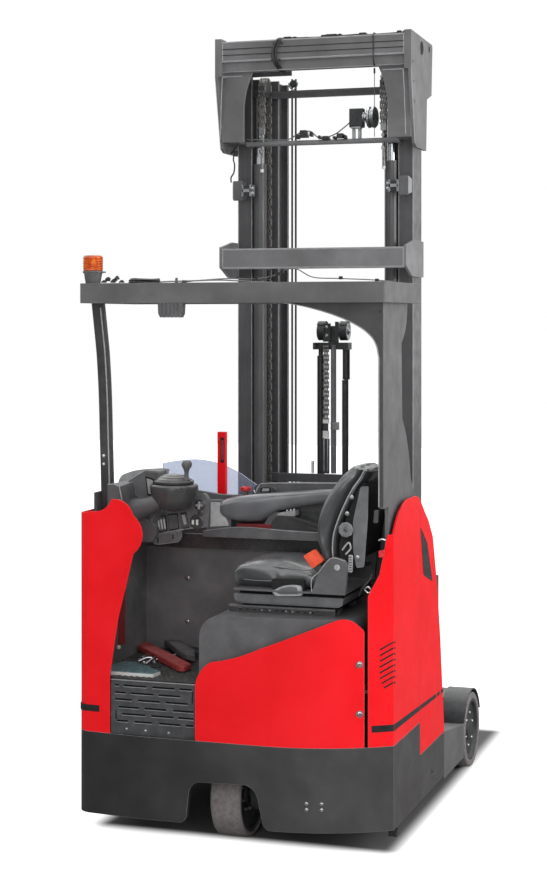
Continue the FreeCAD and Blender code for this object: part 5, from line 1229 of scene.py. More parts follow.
def makeDeck():
    # behind the dash: a rimmed panel with a blank pale plate, the far arm, its small controls and the stop button; pale
    # beads along the rim, the arm and the ledge are a painted highlight, the dark recess round the small key painted
    # shade, and the dark red strip under the ledge the red coat painted as shade
    rim = rounded([(-420, 1262), (-405, 1338), (-374, 1334), (-251, 1317), (-120, 1322), (-60, 1300), (-50, 1262)],
                  [4, 8, 20, 40, 20, 12, 4], 5)
    parts = [(slab(rim, 1, 690, 700), "facia ABS"),
             bead([(-403, 689, 1337), (-374, 689, 1333), (-251, 689, 1317), (-125, 689, 1322)], 1.8, "light ABS and painted highlight",
                  ahead, 20),
             (moulding([(-293, 1294), (-238, 1294), (-197, 1196), (-283, 1189)], 4, 598, 600), "pale plate"),
             (slab([(-300, 1152), (-302, 1300), (-240, 1302), (-190, 1240), (-190, 1152)], 1, 600, 656), "facia ABS")]
    far = rounded([(-112, 1262), (-104, 1322), (-88, 1357), (-62, 1373), (93, 1379), (400, 1386), (400, 1262)],
                  [3, 20, 14, 18, 60, 10, 3], 6)
    parts.append((slab(far, 1, 664, 716), "moulded ABS"))
    parts.append(bead([(-97, 663, 1338), (-86, 663, 1360), (-62, 663, 1373), (93, 663, 1379), (398, 663, 1386)], 2.0,
                      "light ABS and painted highlight", ahead, 30))
    parts += [(moulding([(-78, 1336), (-30, 1338), (-30, 1358), (-76, 1356)], 4, 660, 666), "gap black and painted shade"),
              (moulding([(-70, 1340), (-38, 1342), (-38, 1353), (-68, 1352)], 3, 658, 662), "light ABS and painted highlight"),
              (turned([(0, 11), (6, 10), (8, 7), (8, 2)], (-14, 664, 1350), rearward, 18), "gloss ABS"),
              (turned([(0, 9), (14, 9), (15, 22), (22, 24), (29, 22), (32, 15), (32, 2)], (-154, 690, 1324), upward,
                      28), "signal red"),
              (turned([(-20, 14), (6, 14), (8, 12)], (-154, 690, 1324), upward, 20), "moulded ABS"),
              (tube([(-130, 690, 1318), (-118, 690, 1340), (-108, 688, 1322)], 3, 10, 6, ahead), "bright steel"),
              (tube([(-100, 684, 1330), (-108, 684, 1350), (-96, 684, 1366)], 2.6, 10, 6, ahead), "cable jacket")]
    ledge = rounded([(-302, 1150), (-302, 1174), (-146, 1196), (60, 1190), (400, 1183), (400, 1150)],
                    [2, 6, 20, 20, 4, 2], 5)
    parts.append((slab(ledge, 1, 566, 658), "facia ABS"))
    parts.append(bead([(0, 565, 1192), (90, 565, 1187), (390, 565, 1182)], 2.0, "light ABS and painted highlight", ahead, 10))
    parts.append(bead([(-300, 565, 1174), (-146, 565, 1195), (0, 565, 1192)], 1.4, "pale highlight coat", ahead, 10))
    parts.append((moulding([(-158, 1184), (-4, 1184), (-4, 1210), (-158, 1206)], 3, 590, 640), "red coat in painted shade"))
    housing = rounded([(0, 1190), (0, 1224), (22, 1248), (92, 1247), (160, 1228), (240, 1212), (240, 1190)],
                      [4, 10, 16, 20, 30, 20, 4], 6)
    parts += [(slab(housing, 1, 580, 650), "gloss ABS"),
              (moulding([(20, 1249), (28, 1259), (102, 1274), (102, 1248)], 3, 584, 640), "light ABS and painted highlight")]
    for x, high in ((66, 1268), (82, 1271), (97, 1274)):
        parts.append((turned([(0, 4), (4, 4), (6, 2)], (x, 586, high), upward, 10), "white nylon"))
    parts.append((moulding([(-40, 1205), (10, 1205), (30, 1262), (-10, 1262)], 6, 596, 640), "moulded ABS"))
    piece("deck_controls", parts, "chassis", bevel=1.0, replaces=["armrest_console"])


makeDeck()
print("cab fitted")


# low fittings: the small foot, the hole in the side, the door joints and pale beads along edges, a painted highlight


def makeLowTrim():
    # the small foot under the corner and the square hole in the side, drawn as a dark slab: painted shade
    parts = [(block((600, 214, 60), (634, 244, 86)), "black enamel"),
             (slab(rounded([(812, 154), (836, 154), (836, 176), (812, 176)], 3, 4), 0, 632, 634.9), "gap black and painted shade")]
    piece("low_trim", parts, "chassis")


makeLowTrim()


joint = {"x": 631.4, "half": 3.2, "near": 589.6, "far": 594.4, "low": 426, "high": 1333}


def makeSeams():
    # dark joint between the corner covers and the battery doors
    half, low, high = joint["half"], joint["low"], joint["high"]
    parts = [(block((x - half, joint["near"], low), (x + half, joint["far"], high)), "gap black and painted shade")
             for x in (-joint["x"], joint["x"])]
    piece("door_joints", parts, "chassis")


makeSeams()


def edgeLines(node, longest, upright=True):
    # a painted highlight along the long straight edges of a part: a fine pale bead let into each sharp edge
    cad = nodes[node]
    build = bmesh.new()
    build.from_mesh(cad.data)
    bmesh.ops.remove_doubles(build, verts=build.verts, dist=0.00001)
    bmesh.ops.dissolve_limit(build, angle_limit=0.02, verts=build.verts, edges=build.edges)
    place = np.array(cad.matrix_world)
    parts = []
    for edge in build.edges:
        if len(edge.link_faces) != 2 or edge.calc_face_angle(0) < 0.6 or not edge.is_convex:
            continue
        a, b = (place[:3, :3] @ np.array(vertex.co) + place[:3, 3] for vertex in edge.verts)
        along = np.abs(b - a)
        if along.max() < longest or (upright and along.argmax() != 2):
            continue
        normal = sum((np.array(face.normal) for face in edge.link_faces), np.zeros(3))
        a, b = ((end * 1000 - (0, rearFace * 1000, 0) - normal * 1.2) for end in (a, b))
        parts.append((swept(circle(2.1, 6), [a, b], normal), "painted edge highlight"))
    build.free()
    return parts


def makeEdgeLines():
    # pale beads along the rails' edges, the beams' edges and lines on the head beam's face: a painted highlight
    for name, body, made in (("outer", "mast", ["outer_rails"]), ("middle", "middle_mast", ["middle_rails"]),
                             ("inner", "inner_mast", ["inner_rails"])):
        parts = [part for node in made for part in edgeLines(node, 1.0)]
        print(name, "rail edges", len(parts))
        piece(name + "_rail_edges", parts, body)
    parts = [part for node in ("mast_head_frame", "mast_mid_frame") for part in edgeLines(node, 0.3, False)]
    parts.append((block((-395, 1322, 3196), (-150, 1328, 3262)), "mast satin coat"))
    for x in (-385, -250):
        parts.append((block((x, 1200, 3250), (x + 20, 1324, 3262)), "mast satin coat"))
    for side in (-1, 1):
        for line in ([(side * 424, 3178), (side * 430, 3080), (side * 436, 2890)],
                     [(side * 424, 3178), (side * 330, 3178)]):
            parts.append(bead([(x, 1142.4, high) for x, high in line], 2.0, "painted edge highlight", ahead))
    piece("beam_edges", parts, "mast")


makeEdgeLines()
print("low fittings made")


# mast

chain = {"pitch": 24, "wide": 33, "deep": 16, "side": 291, "rear": 1312, "wheel": 45, "top": 3145, "low": 320}


def leafChain(x, path, wide, pitch, deep):
    # leaf chain along a line of (ahead, up) points: pins one pitch apart on the line, links of lapped plates between
    # them, each plate = pin + u * direction + v * across, four plates on odd links and three on even ones
    path = np.asarray(path, float)
    length = np.concatenate([[0], np.cumsum(np.linalg.norm(np.diff(path, axis=0), axis=1))])
    places = np.arange(0, length[-1], pitch)
    pins = np.column_stack([np.interp(places, length, path[:, 0]), np.interp(places, length, path[:, 1])])
    first, step = pins[:-1], np.diff(pins, axis=0)
    step /= np.linalg.norm(step, axis=1)[:, None]
    across = np.column_stack([-step[:, 1], step[:, 0]])
    half = deep / 2
    outline = np.array([(-half, 0), (-half * 0.6, half * 0.8), (pitch * 0.3, half), (pitch * 0.7, half),
                        (pitch + half * 0.6, half * 0.8), (pitch + half, 0), (pitch + half * 0.6, -half * 0.8),
                        (pitch * 0.7, -half), (pitch * 0.3, -half), (-half * 0.6, -half * 0.8)])
    count = len(outline)
    flat = first[:, None] + outline[None, :, :1] * step[:, None] + outline[None, :, 1:] * across[:, None]
    thin = wide / 7 * 0.86
    shapes = []
    for odd in (0, 1):
        offsets = (np.arange(4) - 1.5) * wide * 2 / 7 if odd else (np.arange(3) - 1) * wide * 2 / 7
        links = flat[odd::2]
        for offset in offsets:
            rings = np.zeros((len(links), 2, count, 3))
            rings[..., 1:] = links[:, None]
            rings[:, 0, :, 0] = x + offset - thin / 2
            rings[:, 1, :, 0] = x + offset + thin / 2
            points = rings.reshape(-1, 3)
            one = loft(np.zeros((2, count, 3)))[1]
            faces = [tuple(i + n * count * 2 for i in face) for n in range(len(links)) for face in one]
            shapes.append((points, faces))
    pin = turned([(-wide / 2 - 1.5, 4.2), (wide / 2 + 1.5, 4.2)], (0, 0, 0), rightward, 8)
    shapes.append(repeated(pin, np.column_stack([np.full(len(pins), x), pins])))
    return merge(*shapes)


def makeLiftChains():
    # two chains: an anchor bolt on the cross tube, up over the wheel on the cylinder rod, and down beside the rails
    middle = chain["rear"] + chain["wheel"]
    turn = np.linspace(np.pi, 0, 13)
    over = np.column_stack([middle + chain["wheel"] * np.cos(turn), chain["top"] + chain["wheel"] * np.sin(turn)])
    path = np.concatenate([[(chain["rear"], 2960)], over, [(chain["rear"] + 2 * chain["wheel"] + 1, chain["low"])]])
    parts = []
    for side in (-1, 1):
        x = side * chain["side"]
        parts.append((leafChain(x, path, chain["wide"], chain["pitch"], chain["deep"]), "chain steel"))
        wheel = [(-15, 6), (-15, chain["wheel"] + 1), (-11, chain["wheel"] + 1), (-9, chain["wheel"] - 8),
                 (9, chain["wheel"] - 8),
                 (11, chain["wheel"] + 1), (15, chain["wheel"] + 1), (15, 6)]
        parts.append((turned(wheel, (x, middle, chain["top"]), rightward, 28), "cast iron"))
    piece("lift_chains", parts, "middle_mast", soft=50)
    parts = []
    for side in (-1, 1):
        x = side * chain["side"]
        rear = chain["rear"]
        parts += [(block((x - 13, rear - 7, 2928), (x + 13, rear + 7, 2962)), "bright steel"),
                  (turned([(0, 6.5), (168, 6.5)], (x, rear, 2765), upward, 12), "chain steel"),
                  (turned([(0, 12), (14, 12)], (x, rear, 2842), upward, 6), "zinc plate"),
                  (turned([(0, 12), (12, 12)], (x, rear, 2901), upward, 6), "zinc plate"),
                  (turned([(0, 8), (14, 9)], (x, rear, 2752), upward, 12), "white nylon")]
    piece("chain_anchors", parts, "mast")


makeLiftChains()


def frameBead(corners, back, radius):
    # a round bead along a closed rectangle on a beam's face
    corners = [(x, back, z) for x, z in corners]
    return [swept(circle(radius, 8), [a, b], ahead) for a, b in zip(corners, corners[1:] + corners[:1])]


def makeBeamTrim():
    # the head beam's two pressed lines, drawn as a near-black strip over a darker grey one (painted shade), a pale bead
    # round both beams' faces (a painted highlight) and the plates' round openings as dark discs (painted shade)
    parts = []
    for high in (3276, 3303):
        parts.append((block((-428, 1141.6, high - 1.6), (428, 1144, high + 1.6)), "gap black and painted shade"))
        parts.append((block((-428, 1141.8, high - 4.0), (428, 1144, high - 1.7)), "mast satin coat"))
    for bead in frameBead([(-424, 3250), (426, 3250), (426, 3333), (-424, 3333)], 1143.5, 2.2):
        parts.append((bead, "pale highlight coat"))
    for bead in frameBead([(-424, 2306), (424, 2306), (424, 2387), (-424, 2387)], 1143.5, 2.4):
        parts.append((bead, "pale highlight coat"))
    for back, high, radius in ((1340, 3296, 31), (1487, 3312, 14)):
        for side in (1, -1):
            parts.append((turned([(0, 2), (0.8, radius), (0.9, 2)], (side * 461, back, high), (side, 0, 0), 32),
                          "gap black and painted shade"))
            parts.append((turned([(-0.5, radius - 1), (1.6, radius), (1.6, radius + 3), (-0.5, radius + 5)],
                                 (side * 461, back, high), (side, 0, 0), 32), "mast satin coat"))
    for side in (1, -1):
        for back, high in ((1175, 3215), (1190, 3130), (1205, 3040)):
            parts.append((bolt((side * 460.8, back, high), (side, 0, 0), 5, 4), "mast satin coat"))
    piece("beam_trim", parts, "mast")


makeBeamTrim()


wiring = {"overBeam": 3337, "onTube": 2897}


def makeMastWiring():
    # strapped control wiring: over the head beam, down its face, along the cross tube and to the two sensors
    parts = []
    bundle = [(-142, 1160, 3341), (-158, 1140, 3335), (-176, 1135, 3300), (-180, 1135, 3262), (-172, 1140, 3233),
              (-160, 1172, 3205), (-152, 1215, 3196)]
    parts.append((tube(bundle, 6.5, 26, 8, rightward), "cable jacket"))
    parts.append((tube([(x + 14, y, z) for x, y, z in bundle], 4, 26, 8, rightward), "cable jacket"))
    for x, high in ((-150, 3318), (-158, 3245)):
        parts.append((block((x - 30, 1136, high - 4), (x + 14, 1142, high + 4)), "cable jacket"))
    parts.append((tube([(288, 1160, 3343), (288, 1141, 3335), (290, 1139, 3290), (289, 1141, 3226), (289, 1165, 3200)],
                       3, 24, 6, rightward), "cable jacket"))
    top, tieHigh = wiring["overBeam"], wiring["onTube"]
    parts.append((tube([(-142, 1166, top + 4), (-96, 1172, top + 6), (-60, 1168, top + 6), (36, 1172, top + 5),
                        (90, 1166, top + 9), (140, 1172, top + 7), (214, 1170, top + 8), (250, 1172, top + 5),
                        (330, 1170, top + 5), (400, 1172, top + 7)], 3.4, 70, 6, ahead), "cable jacket"))
    for x, wide, high in ((-118, 22, 13), (-84, 12, 11), (-30, 5, 9), (52, 13, 13), (88, 32, 15), (128, 10, 14),
                          (234, 20, 14), (286, 6, 12), (402, 12, 15), (432, 16, 14)):
        outline = rounded([(x - wide, top), (x + wide, top), (x + wide * 0.8, top + high),
                           (x - wide * 0.85, top + high)], 4, 4)
        parts.append((slab(outline, 1, 1158 + x % 7, 1182), "cable jacket"))
    parts.append((tube([(-366, 1300, 2905), (-300, 1296, 2902), (-240, 1300, 2899), (-161, 1300, tieHigh + 2),
                        (-120, 1298, tieHigh + 22), (-90, 1300, tieHigh + 34), (-52, 1298, tieHigh + 36),
                        (-20, 1300, tieHigh + 10), (0, 1302, tieHigh + 4), (30, 1302, tieHigh + 8),
                        (70, 1300, tieHigh + 22), (110, 1300, tieHigh + 50), (146, 1300, tieHigh + 78)], 3, 80, 6,
                       ahead), "grey cable"))
    for x, wide, low, high in ((-84, 22, 8, 42), (-112, 8, 2, 24), (-48, 8, 12, 34), (22, 20, -4, 12), (-8, 7, 0, 16),
                               (92, 20, 0, 22), (112, 10, -2, 14), (64, 9, -2, 10)):
        outline = rounded([(x - wide, tieHigh + low), (x + wide, tieHigh + low), (x + wide * 0.7, tieHigh + high),
                           (x - wide * 0.75, tieHigh + high)], 4, 4)
        parts.append((slab(outline, 1, 1290, 1314), "cable jacket"))
    parts.append((tube([(-404, 1262, 2850), (-414, 1262, 2815), (-408, 1262, 2785), (-412, 1264, 2752),
                        (-428, 1270, 2728), (-430, 1276, 2706)], 3.4, 30, 6, ahead), "cable jacket"))
    parts.append((tube([(-430, 1276, 2840), (-412, 1266, 2856), (-390, 1264, 2880), (-368, 1290, 2893)], 3.4, 16, 6,
                       ahead), "cable jacket"))
    piece("mast_wiring", parts, "mast")


makeMastWiring()

encoder = {"low": (136, 1286, 2944), "high": (196, 1340, 3030), "reel": (218, 258), "middle": (1313, 2989),
           "radius": 49}


def makeEncoder():
    # height measuring drum: a motor-like box, a stepped shaft and a grooved reel with its wire
    (x0, y0, z0), (x1, y1, z1) = encoder["low"], encoder["high"]
    back, high = encoder["middle"]
    radius = encoder["radius"]
    outline = rounded([(y0, z0), (y1, z0), (y1, z1), (y0, z1)], 10, 5)
    left, right = encoder["reel"]
    reel = [(left, 6), (left, radius - 4), (left + 4, radius), (left + 12, radius - 1), (left + 15, radius - 9),
            (left + 19, radius - 9), (left + 22, radius - 1), (right - 7, radius), (right, radius - 8), (right, 6)]
    shaft = [(x1 - 2, 26), (x1 + 6, 26), (x1 + 7, 14), (left - 6, 14), (left - 5, 20), (left + 1, 20)]
    parts = [(slab(outline, 0, x0, x1), "cast iron"),
             (turned(reel, (0, back, high), rightward, 40), "bright steel"),
             (turned(shaft, (0, back, high), rightward, 24), "zinc plate"),
             (block((x0 + 8, y0 - 3, z0 - 6), (x1 - 6, 1318, z0 + 1)), "zinc plate"),
             (block((x0 + 10, 1300, 2892), (x0 + 22, 1320, z0)), "zinc plate"),
             (block((x1 - 22, 1300, 2892), (x1 - 10, 1320, z0)), "zinc plate"),
             (tube([(248, back, 3210), (248, back, 2900)], 1.8, 3, 6, ahead), "chain steel"),
             (tube([(247, back + 2, 3212), (248, back, 3188)], 4.5, 3, 8, ahead), "cable jacket")]
    for n in range(5):
        turn = 2 * math.pi * (n + 0.2) / 5
        parts.append((bolt((right, back + 26 * math.cos(turn), high + 26 * math.sin(turn)), rightward, 4, 3),
                      "chain steel"))
    piece("height_encoder", parts, "mast", bevel=1.2)


makeEncoder()


sensor = {"places": ((-1, 2619, 2712), (1, 2628, 2717)), "near": 1262, "inner": 372, "outer": 414}


def makeSensors():
    # two stage switches on zinc angle plates, one on each outer rail
    parts = []
    y0 = sensor["near"]
    for side, low, high in sensor["places"]:
        body = rounded([(low, y0), (high, y0), (high - 8, y0 + 66), (low + 14, y0 + 66)], 5, 4)
        x0, x1 = side * sensor["inner"], side * sensor["outer"]
        parts.append((slab(np.array(body)[:, ::-1], 0, min(x0, x1), max(x0, x1)), "moulded ABS"))
        plate = rounded([(y0 + 4, low + 6), (y0 + 70, low + 18), (y0 + 70, high - 12), (y0 + 4, high - 2)], 5, 4)
        parts.append((slab(plate, 0, *(sorted((side * 415, side * 419)))), "bright steel"))
        middle = (low + high) / 2
        for x, wide, tall in ((350, 22, 7), (331, 4, 27), (369, 4, 27)):
            parts.append((block((side * x - wide, y0 - 3, middle - tall), (side * x + wide, y0 + 26, middle + tall)),
                          "bright steel"))
        parts.append((block((side * 350 - 18, y0 + 4, middle - 23), (side * 350 + 18, y0 + 24, middle + 23)),
                      "cast iron"))
        parts.append((block((min(side * 316, side * 330), y0 + 2, middle - 26),
                            (max(side * 316, side * 330), y0 + 22, middle + 26)), "moulded ABS"))
        parts.append((block((min(side * 378, side * 408), y0 + 60, middle - 20),
                            (max(side * 378, side * 408), 1346, middle + 20)), "bright steel"))
        parts.append((bolt((side * 322, y0 + 2, middle + 10), rearward, 5, 4), "zinc plate"))
        parts.append((bolt((side * 322, y0 + 2, middle - 12), rearward, 5, 4), "zinc plate"))
    piece("mast_sensors", parts, "mast", bevel=1.0)


makeSensors()


hose = {"places": (-206, -188), "back": 1505, "radius": 4.6, "highs": (3205, 2400, 1200, 230)}


def makeHoses():
    # pair of hydraulic hoses down the inner stage from a guide wheel at its head
    parts = [(tube([(x, hose["back"], high) for high in hose["highs"]], hose["radius"], 5, 10, ahead), "hose rubber")
             for x in hose["places"]]
    guide = [(-221, 1500, 3188), (-220, 1500, 3178), (-213, 1500, 3164), (-200, 1500, 3152), (-186, 1500, 3164),
             (-179, 1500, 3178), (-178, 1500, 3188)]
    parts += [(tube(guide, 3.2, 30, 8, ahead), "bright steel"),
              (turned([(-7, 4), (-7, 17), (-4, 18), (-2, 14), (2, 14), (4, 18), (7, 17), (7, 4)], (-197, 1496, 3182),
                      ahead, 24), "cast iron"),
              (block((-216, 1492, 225), (-178, 1512, 245)), "zinc plate"),
              (block((-216, 1492, 1318), (-178, 1512, 1338)), "zinc plate")]
    piece("mast_hoses", parts, "inner_mast")


makeHoses()

lift = {"chainX": -22, "chainBack": 1448, "sheaveX": (-53, 53), "sheaveBack": 1500, "sheaveZ": 2014, "sheaveRadius": 47,
        "wrap": (20, 140), "face": 70.5}


def makeFreeLift():
    # chain, hose tubes and guards of the free lift, travelling with its sheave head
    x, back = lift["chainX"], lift["chainBack"]
    parts = [(leafChain(x, [(back, 1608), (back, 1958)], 26, 21, 12), "chain steel"),
             (block((x - 14, back - 6, 1586), (x + 14, back + 5, 1604)), "white nylon"),
             (block((x - 10, back - 6, 1551), (x + 10, back + 5, 1586)), "cast iron"),
             (block((x - 14, back - 6, 1517), (x + 13, back + 5, 1551)), "white nylon"),
             (block((x - 20, back - 2, 1352), (x + 16, back + 5, 1515)), "cast iron")]
    for side in (-9, 9):
        parts.append((turned([(0, 3), (150, 3)], (x + side, back - 3, 1362), upward, 8), "zinc plate"))
    parts.append((turned([(0, 12.5), (600, 12.5)], (9, 1467, 1352), upward, 20), "grey cable"))
    for high in (1560, 1580):
        parts.append((turned([(0, 14.5), (9, 14.5)], (9, 1467, high), upward, 20), "bright steel"))
    parts.append((block((9, 1452, 1556), (36, 1470, 1592)), "bright steel"))
    for middle in lift["sheaveX"]:
        turn = np.linspace(*np.radians(lift["wrap"]), 14)
        radius = lift["sheaveRadius"]
        arc = np.column_stack([np.full(14, middle), lift["sheaveBack"] + radius * np.cos(turn),
                               lift["sheaveZ"] + radius * np.sin(turn)])
        parts.append((swept([(-18, -2), (18, -2), (18, 2), (-18, 2)], arc, rightward), "hub paint"))
    for side in (-1, 1):
        face = side * lift["face"]
        ring = [(0, 8), (0, 39), (side * 2.5, 39), (side * 2.5, 30), (side * 1.2, 27), (side * 1.2, 16), (side * 5, 14),
                (side * 5, 2)]
        parts.append((turned(ring, (face, lift["sheaveBack"], lift["sheaveZ"]), rightward, 32), "bright steel"))
        parts.append((bolt((face + side * 5, lift["sheaveBack"], lift["sheaveZ"]), (side, 0, 0), 7, 5), "zinc plate"))
    parts += [(block((-42, 1463, 1966), (-6, 1475, 2052)), "hub paint"),
              (block((18, 1459, 1962), (34, 1470, 2060)), "hub paint"),
              (block((-84, 1440, 1930), (-72, 1460, 1962)), "cast iron"),
              (block((70, 1436, 1928), (84, 1460, 1958)), "cast iron"),
              (bolt((-24, 1463, 2035), rearward, 5, 4), "zinc plate"),
              (bolt((-24, 1463, 1995), rearward, 5, 4), "zinc plate")]
    piece("free_lift_dressing", parts, "free_lift_head", bevel=0.8)
    parts = [(turned([(0, 15), (1148, 15), (1148, 10.5)], (62, 1480, 640), upward, 24), "cast iron"),
             (block((-94, 1446, 1352), (-86, 1470, 1408)), "white nylon"),
             (block((-92, 1438, 1312), (-64, 1455, 1350)), "white nylon"),
             (block((-106, 1434, 1332), (60, 1438.5, 1348)), "bright steel"),
             (block((-8, 1438, 1312), (20, 1453, 1350)), "white nylon")]
    piece("free_lift_fixings", parts, "inner_mast", bevel=0.8)


makeFreeLift()
print("mast dressed")


# seat: pads are blown up as cloth, then seamed

seatPads = {"voxel": 6, "pressure": 4.0, "steps": 20, "quality": 4, "stretch": 45, "bend": 8, "calm": 14, "calmBy": 0.6}


def boxy(rings, count=64, power=4.0):
    # rings of a soft block: at each step centre + halfWide * |cos|^(2/p), halfTall * |sin|^(2/p), in a leaning plane
    turn = np.linspace(0, 2 * np.pi, count, endpoint=False)
    u = np.sign(np.cos(turn)) * np.abs(np.cos(turn)) ** (2 / power)
    v = np.sign(np.sin(turn)) * np.abs(np.sin(turn)) ** (2 / power)
    made = []
    for centre, across, wide, up, tall in rings:
        made.append(np.asarray(centre, float) + wide * u[:, None] * np.asarray(across, float)
                    + tall * v[:, None] * np.asarray(up, float))
    return loft(np.array(made))


def softPad(name, shape, material, body, node, cap):
    # cloth recipe: remesh at a few millimetres, blow up with gravity off, hold each point within its cap
    points, faces = shape
    mesh = bpy.data.meshes.new(name)
    mesh.from_pydata(spots(points).tolist(), [], faces)
    build = bmesh.new()
    build.from_mesh(mesh)
    bmesh.ops.recalc_face_normals(build, faces=build.faces)
    build.to_mesh(mesh)
    build.free()
    mesh.materials.append(materials[material])
    made = bpy.data.objects.new(name, mesh)
    scene.collection.objects.link(made)
    grid = made.modifiers.new("remesh", "REMESH")
    grid.mode = "VOXEL"
    grid.voxel_size = seatPads["voxel"] / 1000
    applyModifiers(made)
    start = np.empty(len(made.data.vertices) * 3)
    made.data.vertices.foreach_get("co", start)
    cloth = made.modifiers.new("cloth", "CLOTH")
    cloth.settings.use_pressure = True
    cloth.settings.uniform_pressure_force = seatPads["pressure"]
    cloth.settings.effector_weights.gravity = 0
    cloth.settings.quality = seatPads["quality"]
    cloth.settings.tension_stiffness = cloth.settings.compression_stiffness = seatPads["stretch"]
    cloth.settings.bending_stiffness = seatPads["bend"]
    for step in range(seatPads["steps"]):
        scene.frame_set(step + 1)
    applyModifiers(made)
    end = np.empty_like(start)
    made.data.vertices.foreach_get("co", end)
    move = (end - start).reshape(-1, 3)
    far = np.linalg.norm(move, axis=1)
    move *= np.minimum(1, cap / 1000 / np.maximum(far, 1e-9))[:, None]
    made.data.vertices.foreach_set("co", (start + move.ravel()))
    made.data.update()
    scene.frame_set(1)
    calm = made.modifiers.new("calm", "SMOOTH")
    calm.factor, calm.iterations = seatPads["calmBy"], seatPads["calm"]
    applyModifiers(made)
    print(name, "blown up by at most", round(float(np.linalg.norm(move, axis=1).max() * 1000), 1), "mm")
    made.data.shade_smooth()
    fine = made.modifiers.new("fine", "SUBSURF")
    fine.levels = fine.render_levels = 1
    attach(made, body)
    if node:
        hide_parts(node)
    return made


def applyModifiers(made):
    # the evaluated mesh takes the place of the first one
    graph = bpy.context.evaluated_depsgraph_get()
    done = bpy.data.meshes.new_from_object(made.evaluated_get(graph))
    old = made.data
    made.modifiers.clear()
    made.data = done
    bpy.data.meshes.remove(old)


def onPad(made, points, direction):
    # where rays along a direction meet the pad; a point that misses keeps its place
    tree = BVHTree.FromObject(made, bpy.context.evaluated_depsgraph_get())
    found = []
    for point in spots(points):
        hit = tree.ray_cast(Vector(point), Vector(direction))[0]
        found.append(point if hit is None else np.array(hit))
    found = np.array(found) * 1000
    found[:, 1] -= rearFace * 1000
    return found


cushion = {"sections": [(-28, 1040, 26), (-20, 1040, 42), (-8, 1042, 49), (-2, 1044, 49), (1, 1053, 41), (30, 1055, 43),
                        (80, 1057, 44), (140, 1056, 42), (230, 1053, 39), (300, 1050, 35), (336, 1047, 27)],
           "middle": 335, "half": 196, "channels": (95, 165, 235), "cap": 24}


def makeCushion():
    # seat cushion: a rolled front, crowned top with a dished middle and a sewn edge round its top panel; its piping is
    # a lighter vinyl than the pad: a painted highlight
    rings = []
    for x, high, tall in cushion["sections"]:
        rings.append(((x, cushion["middle"], high), ahead, cushion["half"] - (12 if x in (-28, 336) else 0),
                      upward, tall))
    made = softPad("seat_cushion_pad", boxy(rings), "upholstery vinyl", "seat", "seat_cushion", cushion["cap"])
    seam = rounded([(22, 168), (300, 168), (300, 502), (22, 502)], 40, 8)
    top = onPad(made, np.column_stack([seam, np.full(len(seam), 1150.0)]), downward)
    top[:, 2] -= 0.6
    closed = np.concatenate([top, top[:1]])
    parts = [(swept(circle(2.6, 8), closed, upward), "piping vinyl with painted highlight")]
    for x in cushion["channels"]:
        line = np.column_stack([np.full(14, float(x)), np.linspace(205, 465, 14), np.full(14, 1150.0)])
        line = onPad(made, line, downward)
        line[:, 2] -= 0.4
        parts.append((swept(circle(1.7, 6), line, upward), "piping vinyl with painted highlight"))
    low = np.array([(20, 100, 1040), (60, 100, 1038), (150, 100, 1040)], float)
    side = onPad(made, smoothed(low, 16), ahead)
    parts.append((swept(circle(1.6, 6), side, ahead), "piping vinyl with painted highlight"))
    piece("cushion_seams", parts, "seat")


back = {"front": [(352, 1126), (330, 1186), (324, 1240), (330, 1296), (352, 1356), (384, 1412), (420, 1462),
                  (456, 1494)],
        "rear": [(404, 1120), (402, 1182), (408, 1236), (428, 1296), (452, 1352), (480, 1408), (506, 1448),
                 (517, 1480)],
        "wide": [176, 186, 190, 192, 190, 184, 170, 140], "middle": 335,
        "seams": (176, 494), "channels": (1230, 1300, 1370), "cap": 18}


def makeBackrest():
    # back pad: a curved bolster between a front and a rear line, narrowing towards its rolled head
    front, rear = smoothed(back["front"], 18), smoothed(back["rear"], 18)
    wide = smoothed(np.array(back["wide"], float)[:, None], 18)[:, 0]
    rings = []
    for (x0, z0), (x1, z1), half in zip(front, rear, wide):
        lean = np.array([x1 - x0, 0, z1 - z0])
        deep = np.linalg.norm(lean) / 2 - 5
        rings.append((((x0 + x1) / 2, back["middle"], (z0 + z1) / 2), ahead, half, lean / np.linalg.norm(lean), deep))
    made = softPad("backrest_pad", boxy(rings, power=3.4), "upholstery vinyl", "backrest", "seat_backrest",
                   back["cap"])
    line = [(x - 60, z) for x, z in back["front"][1:7]]
    parts = []
    # seams in piping lighter than the pad's vinyl: a painted highlight
    for near in back["seams"]:
        path = smoothed(np.column_stack([np.array(line)[:, 0], np.full(6, float(near)), np.array(line)[:, 1]]), 26)
        path = onPad(made, path, rightward)
        parts.append((swept(circle(2.4, 8), path, ahead), "piping vinyl with painted highlight"))
    for high in back["channels"]:
        across = np.column_stack([np.full(18, 250.0), np.linspace(182, 488, 18), np.full(18, float(high))])
        across = onPad(made, across, rightward)
        parts.append((swept(circle(1.7, 6), across, upward), "piping vinyl with painted highlight"))
    piece("backrest_seams", parts, "backrest")


